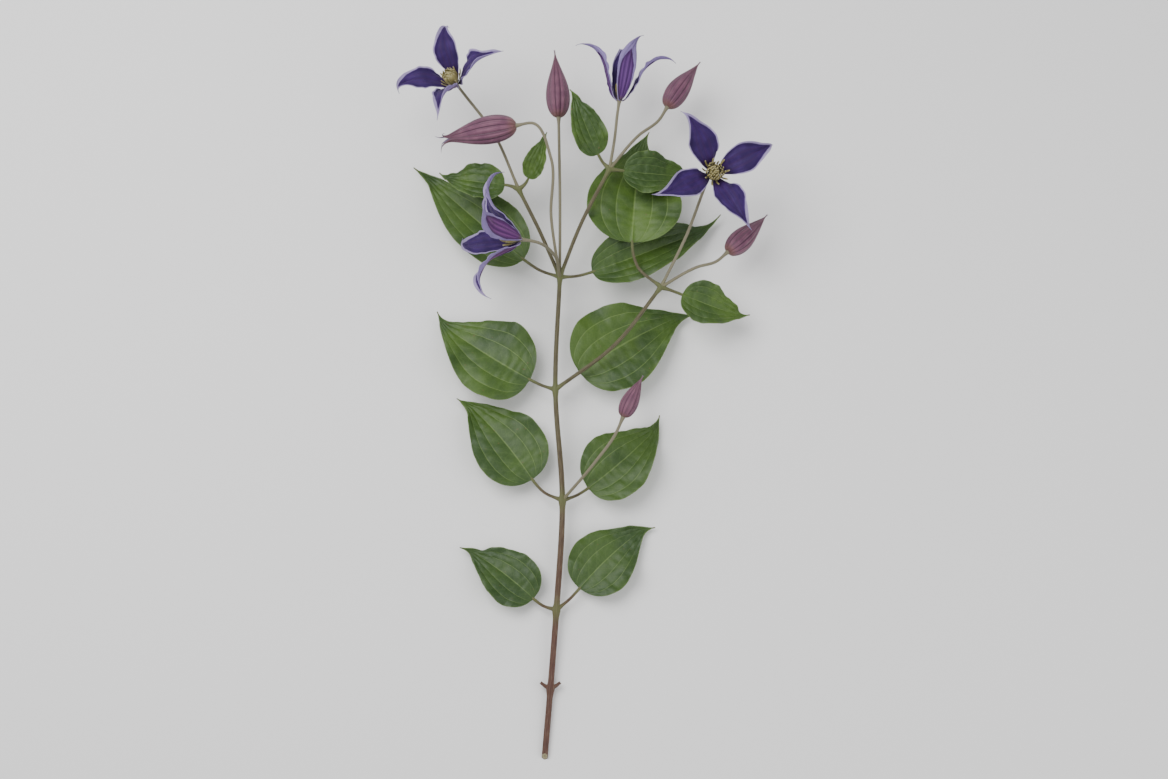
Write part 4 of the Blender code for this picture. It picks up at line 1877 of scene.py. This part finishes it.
@dataclass
class Stem:
    """The stalk with its shoots, leaf stalks and flower stalks.

    Attributes:
        leaves: The leaves that it carries.
        flowers: The blooms and buds that it carries.
        stalk_radius, top_radius: The main stalk's radius at its foot and at its top.
        taper_span: The shares of its length between which it tapers.
        swelling, swelling_reach: How much it swells at a joint, and how far that goes.
        ring, ring_above, ring_reach: How deep the ring above a joint is, where it lies and how broad.
        main_ribs, flower_ribs: How deep the grooves of the main and flower stalks are.
        main_sides, thin_sides: How many steps there are round the main stalk and round the thin ones.
        shoot, petiole, stub, flower: How thick the shoots, leaf stalks, stubs and flower stalks are.
        hub_reach: How far from a joint the stalk is green.
        stub_way: How far a stub reaches sideways, along the stalk and up.
        stub_bow, stub_step: How far it bows outwards, and the step of its middle line.
        cut_plane: The way that the cut at the stalk's foot faces away from.
        cut_back: How far the cut lies from the stalk's first point.
        wood_share, pith_share: The wood's size as a share of the cut's, and the pith's of the wood's.
        pith_slope, pith_depth: The size of the pith's bottom as a share of its rim, and how deep it is.
    """

    leaves: list[Leaf]
    flowers: list[Flower]
    stalk_radius: float = 0.0023
    top_radius: float = 0.0017
    taper_span: Span = (0.3, 1.0)
    swelling: float = 0.42
    swelling_reach: float = 0.0036
    ring: float = 0.10
    ring_above: float = 0.0040
    ring_reach: float = 0.0009
    main_ribs: float = 0.14
    main_sides: int = 36
    thin_sides: int = 20
    flower_ribs: float = 0.06
    shoot: Girth = Girth(radius=0.0014, foot=0.45, foot_reach=0.0045, head=0.60)
    petiole: Girth = Girth(radius=0.0011, foot=0.85, foot_reach=0.0042, slim=0.62)
    stub: Girth = Girth(radius=0.0011, foot=0.70, foot_reach=0.0042)
    flower: Girth = Girth(radius=0.0011, foot=0.35, foot_reach=0.0040, head=7 / 11)
    hub_reach: float = 0.0075
    stub_way: Point = (0.0068, 0.0042, 0.0010)
    stub_bow: float = 0.0006
    stub_step: float = 0.0008
    cut_plane: Point = (0.10, 0.75, -0.66)
    cut_back: float = 0.0030
    wood_share: float = 0.86
    pith_share: float = 0.42
    pith_slope: float = 0.80
    pith_depth: float = 0.00035

    def finish_piece(
        self,
        name: str,
        rods: list[Piece],
        materials: list[Material],
        green_ends: list[Vector] | None = None,
    ) -> None:
        """Joins rods to one piece, marks where it is green and dresses it.

        Args:
            name: The piece's name.
            rods: The rods.
            materials: The piece's materials: bark, and wood where it has a cut.
            green_ends: Places that are as green as a hub.
        """
        piece = join_all(name, rods)
        mesh = piece.data
        hubs = [place - MIDDLE for place in (*(JOINTS[hub] for hub in HUBS), *(green_ends or []))]
        for vertex in mesh.vertices:
            vertex.co.z = max(vertex.co.z, 0.0)
        near = [min((vertex.co - hub).length for hub in hubs) for vertex in mesh.vertices]
        mark(mesh, "hub", [bell(distance, self.hub_reach) for distance in near])
        mark(mesh, "vary", [0.0] * len(mesh.vertices))
        dress(piece, materials, ["stalk"])
        cuts = mesh.attributes["cut"].data
        for polygon in mesh.polygons:
            polygon.material_index = round(cuts[polygon.index].value)

    def main_stalk(self) -> Piece:
        """Models the main stalk, swollen and ringed at its joints.

        Returns:
            The stalk, without its cut.
        """
        points = [JOINTS[name] for name in STALK_ROUTE]
        route = smooth_route(points)
        steps = [(after - before).length for before, after in zip(route, route[1:])]
        total = sum(steps)
        hubs = []
        for joint in points[1:]:
            nearest = min(range(len(route)), key=lambda i: (route[i] - joint).length)
            hubs.append(sum(steps[:nearest]))

        def width(gone: float, left: float) -> float:
            """Tapers the stalk upwards, swells it at each joint and rings it just above.

            Args:
                gone: The distance from its start.
                left: The distance from its end.

            Returns:
                The radius.
            """
            taper = rise_between(*self.taper_span, gone / total)
            plain = self.stalk_radius + (self.top_radius - self.stalk_radius) * taper
            swell = sum(bell(gone - hub, self.swelling_reach) for hub in hubs)
            ring = sum(bell(gone - hub - self.ring_above, self.ring_reach) for hub in hubs)
            return plain * (1 + self.swelling * swell - self.ring * ring)

        return Rod("stalk_main", route, width, rib_depth=self.main_ribs, sides=self.main_sides).build()

    def cut_foot(self, rod: Piece) -> None:
        """Cuts the stalk's foot on the slant, with a rim of bark round wood and a sunken pith.

        Args:
            rod: The main stalk.
        """
        activate(rod)
        foot = JOINTS["cut"] - MIDDLE
        foot.y += self.cut_back
        bpy.ops.object.mode_set(mode="EDIT")
        bpy.ops.mesh.select_all(action="SELECT")
        bpy.ops.mesh.bisect(plane_co=foot, plane_no=self.cut_plane, use_fill=True, clear_inner=True)
        bpy.ops.mesh.select_mode(type="FACE")
        bpy.ops.mesh.select_all(action="DESELECT")
        bpy.ops.object.mode_set(mode="OBJECT")
        rod.data.polygons.foreach_set("select", cut_faces(rod, foot, self.stalk_radius))
        self.step_in(rod, self.wood_share)
        wood = [float(polygon.select) for polygon in rod.data.polygons]
        rod.data.attributes["cut"].data.foreach_set("value", wood)
        self.step_in(rod, self.pith_share)
        self.step_in(rod, self.pith_slope, self.pith_depth)
        bpy.ops.object.mode_set(mode="EDIT")
        bpy.ops.mesh.select_mode(type="VERT")
        bpy.ops.object.mode_set(mode="OBJECT")

    def step_in(self, rod: Piece, share: float, sink: float = 0.0) -> None:
        """Sets a smaller face into the selected face of the cut, and keeps it selected.

        Args:
            rod: The main stalk.
            share: The smaller face's size as a share of the other's.
            sink: How far it is sunk into the stalk.
        """
        bpy.ops.object.mode_set(mode="EDIT")
        bpy.ops.mesh.inset(thickness=0.0, depth=0.0)
        bpy.ops.object.mode_set(mode="OBJECT")
        face = next(polygon for polygon in rod.data.polygons if polygon.select)
        middle = face.center.copy()
        sunk = middle + Vector(self.cut_plane).normalized() * sink
        for index in face.vertices:
            vertex = rod.data.vertices[index]
            vertex.co = sunk + (vertex.co - middle) * share

    def stubs(self) -> list[Piece]:
        """Models the two leaf stalks at the bare joint, which were cut short.

        Returns:
            The two stubs.
        """
        rods = []
        joint = JOINTS["bare"]
        aside, along, up = self.stub_way
        for sign in (-1, 1):
            tip = joint + Vector((sign * aside, along, up))
            middle = joint.lerp(tip, 0.5) + Vector((sign * self.stub_bow, 0.0, 0.0))
            route = smooth_route([joint, middle, tip], self.stub_step)
            rod = Rod(f"stub_{sign + 1}", route, self.stub.at, sides=self.thin_sides).build()
            wood = [float(cut) for cut in cut_faces(rod, tip - MIDDLE, self.stub.radius)]
            rod.data.attributes["cut"].data.foreach_set("value", wood)
            rods.append(rod)
        return rods

    def build(self, bark: Material, down: Material, wood: Material) -> None:
        """Builds the stem as four pieces.

        Args:
            bark: The material of the stalk, shoots and leaf stalks.
            down: The material of the flower stalks.
            wood: The material of the cuts.
        """
        main = self.main_stalk()
        self.cut_foot(main)
        self.finish_piece("stalk_main", [main, *self.stubs()], [bark, wood])
        rods = []
        for name, (start, via) in SHOOTS.items():
            route = smooth_route([JOINTS[start], Vector(via), JOINTS[name]])
            rods.append(Rod(f"shoot_{name}", route, self.shoot.at).build())
        self.finish_piece("stalk_shoots", rods, [bark])
        rods = []
        for leaf in self.leaves:
            rod = Rod(f"{leaf.name}_stalk", leaf.stalk_route(), self.petiole.at, sides=self.thin_sides)
            rods.append(rod.build())
        self.finish_piece("leaf_stalks", rods, [bark], [Vector(leaf.base) for leaf in self.leaves])
        rods = []
        for flower in self.flowers:
            name, route = f"{flower.name}_stalk", flower.stalk_route()
            rod = Rod(name, route, self.flower.at, rib_depth=self.flower_ribs, sides=self.thin_sides)
            rods.append(rod.build())
        self.finish_piece("flower_stalks", rods, [down])


@dataclass(frozen=True)
class Lamp:
    """A soft square light.

    Attributes:
        name: Its name.
        place: Where it hangs.
        size: The length of its side.
        power: Its power in watts.
    """

    name: str
    place: Point
    size: float
    power: float


@dataclass
class Studio:
    """The pale floor, the soft lights and the camera that looks down on the stem.

    Attributes:
        elevation: The camera's angle above the floor.
        lens: Its focal length in millimetres.
        fill: The share of the picture's height that the stem takes up.
        picture: The picture's width and height.
        aim_height: The height above the floor that it looks at.
        stand_off: How much farther back it stands than the stem's middle asks for.
        floor_colour: The floor's colour.
        floor_size: The length of the floor's side.
        sky_colour: The colour of the even light.
        sky_strength: How strong that light is.
        lamps: The soft lights.
    """

    elevation: float = 76.0
    lens: float = 80.0
    fill: float = 0.93
    picture: tuple[int, int] = (1168, 779)
    aim_height: float = 0.02
    stand_off: float = 0.03
    floor_colour: Colour = (0.845, 0.838, 0.832)
    floor_size: float = 8.0
    sky_colour: Colour = (0.97, 0.98, 1.0)
    sky_strength: float = 0.67
    lamps: tuple[Lamp, ...] = (
        Lamp("key", place=(-0.55, 0.35, 1.15), size=0.9, power=16.5),
        Lamp("fill", place=(0.9, -0.5, 0.9), size=1.1, power=7.0),
    )

    def build(self, low: Vector, high: Vector) -> None:
        """Sets the floor, the lights and the camera.

        Args:
            low: The lowest corner of the stem.
            high: Its highest corner.
        """
        self.floor()
        self.world()
        for lamp in self.lamps:
            self.light(lamp)
        self.camera(low, high)

    def floor(self) -> None:
        """Lays the pale floor."""
        deselect()
        bpy.ops.mesh.primitive_plane_add(size=self.floor_size)
        floor = bpy.context.object
        floor.name = "floor"
        floor.data.materials.append(Recipe("floor").finish(self.floor_colour, 0.85))
        floor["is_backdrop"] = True

    def world(self) -> None:
        """Fills the room with even pale light."""
        world = bpy.data.worlds.new("studio")
        bpy.context.scene.world = world
        world.use_nodes = True
        background = world.node_tree.nodes["Background"]
        background.inputs["Color"].default_value = (*self.sky_colour, 1.0)
        background.inputs["Strength"].default_value = self.sky_strength

    def light(self, lamp: Lamp) -> None:
        """Hangs a soft light that faces the stem.

        Args:
            lamp: What the light is like.
        """
        deselect()
        bpy.ops.object.light_add(type="AREA", location=lamp.place)
        hung = bpy.context.object
        hung.name = lamp.name
        hung.data.size = lamp.size
        hung.data.energy = lamp.power
        hung.rotation_euler = (-Vector(lamp.place)).to_track_quat("-Z", "Y").to_euler()

    def camera(self, low: Vector, high: Vector) -> None:
        """Sets the camera so that the stem fills the picture's height.

        Args:
            low: The lowest corner of the stem.
            high: Its highest corner.
        """
        deselect()
        bpy.ops.object.camera_add()
        camera = bpy.context.object
        camera.data.lens = self.lens
        rise = math.radians(self.elevation)
        back = Vector((0.0, -math.cos(rise), math.sin(rise)))
        centre = (low + high) / 2
        centre.z = self.aim_height
        wide, tall = self.picture
        half = camera.data.sensor_width / 2 / self.lens * tall / wide
        seen = (high.y - low.y) * math.sin(rise) / 2
        camera.location = centre + back * (seen / half / self.fill + self.stand_off)
        camera.rotation_euler = (-back).to_track_quat("-Z", "Y").to_euler()
        bpy.context.scene.camera = camera


LEAVES = [
    Leaf(
        "leaf_low_left", "low", base=(-0.017, -0.134, 0.007), heading=137, pitch=(8, -20), length=0.064,
        width=0.040, roll=20, fold=14, turn=12, wave=0.0012, phase=0.4, curl=46, hook=18, age=0.75,
    ),
    Leaf(
        "leaf_low_right", "low", base=(0.015, -0.127, 0.008), heading=50, pitch=(4, -16), length=0.070,
        width=0.046, roll=-5, fold=12, turn=-14, wave=0.0014, phase=1.9, curl=22, hook=-30, age=0.60,
    ),
    Leaf(
        "leaf_middle_left", "middle", base=(-0.018, -0.051, 0.012), heading=124, pitch=(8, -26),
        length=0.082, width=0.052, roll=9, fold=10, turn=12, wave=0.0016, phase=2.6, curl=50, hook=20,
        age=0.45,
    ),
    Leaf(
        "leaf_middle_right", "middle", base=(0.021, -0.057, 0.011), heading=36, pitch=(6, -24),
        length=0.076, width=0.050, roll=-20, fold=14, turn=16, wave=0.0016, phase=0.9, curl=30, hook=26,
        age=0.55,
    ),
    Leaf(
        "leaf_high_left", "high", base=(-0.020, 0.020, 0.015), heading=152, pitch=(6, -24), length=0.086,
        width=0.060, roll=14, fold=9, turn=-14, wave=0.0018, phase=4.0, curl=44, hook=-24, age=0.35,
    ),
    Leaf(
        "leaf_high_right", "high", base=(0.015, 0.025, 0.015), heading=36, pitch=(4, -20), length=0.094,
        width=0.064, roll=-4, fold=10, turn=-10, wave=0.0018, phase=5.2, curl=26, hook=-20, age=0.30,
    ),
    Leaf(
        "leaf_top_left", "top", base=(-0.025, 0.107, 0.019), heading=139, pitch=(-3, -20), length=0.110,
        width=0.050, roll=8, fold=16, turn=-6, wave=0.0016, phase=1.2, curl=48, hook=16, age=0.40,
    ),
    Leaf(
        "leaf_top_right", "top", base=(0.024, 0.097, 0.021), heading=20, pitch=(0, -24), length=0.106,
        width=0.042, roll=-12, fold=24, turn=10, wave=0.0016, phase=3.1, curl=34, hook=18, age=0.50,
    ),
    Leaf(
        "leaf_right_inner", "right", base=(0.052, 0.116, 0.030), heading=88, pitch=(2, -22), length=0.088,
        width=0.068, roll=5, fold=8, turn=-8, wave=0.0018, phase=0.2, curl=40, hook=-22, age=0.0,
    ),
    Leaf(
        "leaf_right_outer", "right", base=(0.087, 0.077, 0.032), heading=-22, pitch=(-4, -34), length=0.052,
        width=0.032, roll=-8, fold=16, turn=14, wave=0.0010, phase=2.2, curl=30, hook=20, age=0.20,
    ),
    Leaf(
        "leaf_upper_left", "upper", base=(0.028, 0.176, 0.046), heading=118, pitch=(30, 4), length=0.052,
        width=0.026, roll=12, fold=20, turn=-10, wave=0.0009, phase=1.0, curl=-40, hook=10, age=0.10,
    ),
    Leaf(
        "leaf_upper_right", "upper", base=(0.046, 0.165, 0.042), heading=-6, pitch=(-4, -34), length=0.056,
        width=0.033, roll=-8, fold=18, turn=16, wave=0.0010, phase=2.8, curl=20, hook=22, age=0.20,
    ),
    Leaf(
        "leaf_left_inner", "left", base=(-0.021, 0.159, 0.044), heading=62, pitch=(32, 8), length=0.036,
        width=0.017, roll=-12, fold=24, turn=10, wave=0.0006, phase=0.7, curl=-36, age=0.05,
    ),
    Leaf(
        "leaf_left_outer", "left", base=(-0.038, 0.155, 0.041), heading=176, pitch=(8, -32), length=0.050,
        width=0.028, roll=10, fold=18, turn=-14, wave=0.0009, phase=1.6, curl=24, hook=-26, age=0.15,
    ),
]

BLOOMS = [
    Bloom(
        "nodding_bloom", "top", via=((-0.003, 0.102, 0.047),), base=(-0.026, 0.107, 0.066),
        axis=(-0.95, 0.09, 0.24), length=0.062, width=0.021,
        opening=((0.0, 62), (0.08, 34), (0.32, 33), (0.60, 68), (0.80, 104), (1.0, 158)), spin=4, twist=14,
        channel=0.10, wave=0.0010, spread=-10, vary=0.0, gather=0.55, hooks=(14.0, 60.0, 0.0, -45.0),
    ),
    Bloom(
        "open_bloom", "right", via=((0.090, 0.118, 0.041),), base=(0.108, 0.157, 0.059),
        axis=(0.16, -0.12, 0.98), length=0.052, width=0.025,
        opening=((0.0, 62), (0.10, 50), (0.35, 64), (0.70, 88), (1.0, 146)), spin=64, twist=22,
        channel=0.16, wave=0.0018, spread=8, vary=0.6, gather=1.12, hooks=(24.0, -20.0, 18.0, 0.0),
    ),
    Bloom(
        "turned_bloom", "left", via=((-0.046, 0.192, 0.046),), base=(-0.072, 0.224, 0.058),
        axis=(-0.42, 0.30, 0.86), length=0.0516, width=0.021,
        opening=((0.0, 62), (0.10, 36), (0.35, 48), (0.70, 92), (1.0, 164)), spin=40, twist=-26,
        channel=0.14, wave=0.0015, spread=8, vary=0.4, gather=0.85, hooks=(-20.0, 22.0, 0.0, 0.0),
    ),
    Bloom(
        "half_open_bloom", "upper", via=((0.040, 0.190, 0.047),), base=(0.043, 0.214, 0.052),
        axis=(0.14, 0.97, 0.18), length=0.055, width=0.019,
        opening=((0.0, 62), (0.08, 25), (0.40, 16), (0.65, 38), (0.85, 74), (1.0, 116)), spin=12, twist=10,
        channel=0.06, wave=0.0008, spread=-12, vary=0.6, gather=0.3, hooks=(0.0, 24.0, 0.0, 0.0),
    ),
]

BUDS = [
    Bud(
        "tall_bud", "top", via=((0.001, 0.150, 0.034),), base=(0.000, 0.206, 0.039),
        axis=(-0.02, 0.99, 0.06), length=0.050, radius=0.0086, bend=0.002,
    ),
    Bud(
        "upper_bud", "upper", via=((0.057, 0.191, 0.044),), base=(0.077, 0.213, 0.041),
        axis=(0.50, 0.86, -0.10), length=0.044, radius=0.0082, bend=-0.003, spin=20, vary=0.2,
    ),
    Bud(
        "side_bud", "right", via=((0.098, 0.096, 0.037),), base=(0.119, 0.108, 0.033),
        axis=(0.72, 0.66, -0.20), length=0.042, radius=0.0082, bend=0.003, spin=40, vary=0.4,
    ),
    Bud(
        "nodding_bud", "top", via=((-0.005, 0.130, 0.047), (-0.005, 0.166, 0.067)),
        base=(-0.029, 0.187, 0.075), axis=(-0.95, -0.06, -0.22), length=0.060, radius=0.0100, bend=0.004,
        spin=10, parts_from=0.72, curls=(62.0, 95.0, 24.0, 48.0), vary=0.6,
    ),
    Bud(
        "small_bud", "middle", via=((0.026, -0.042, 0.029),), base=(0.045, -0.012, 0.036),
        axis=(0.40, 0.89, 0.20), length=0.032, radius=0.0064, bend=-0.002, spin=55, vary=0.8,
    ),
]


def main() -> None:
    """Loads the frame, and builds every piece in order."""
    logging.basicConfig(level=logging.INFO, format="%(name)s: %(message)s")
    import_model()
    solid_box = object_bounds()
    leaf = LeafFinish().material()
    for each in LEAVES:
        each.build(leaf)
        LOG.info("built %s", each.name)
    tepal = TepalFinish().material()
    stamen = StamenFinish().material()
    for seed, bloom in enumerate(BLOOMS):
        bloom.build_tepals(tepal)
        Stamens(bloom, seed).build(stamen)
        LOG.info("built %s", bloom.name)
    bud = BudFinish().material()
    for each in BUDS:
        each.build(bud)
        LOG.info("built %s", each.name)
    down = StalkFinish(
        name="flower_stalk", contrast=0.4, lower=(0.165, 0.138, 0.090), upper=(0.172, 0.155, 0.098),
        hub=(0.140, 0.135, 0.065),
    )
    stem = Stem(LEAVES, [*BLOOMS, *BUDS])
    stem.build(StalkFinish().material(), down.material(), WoodFinish().material())
    LOG.info("built the stem")
    Studio().build(*solid_box)
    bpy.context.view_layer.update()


if __name__ == "__main__":
    main()
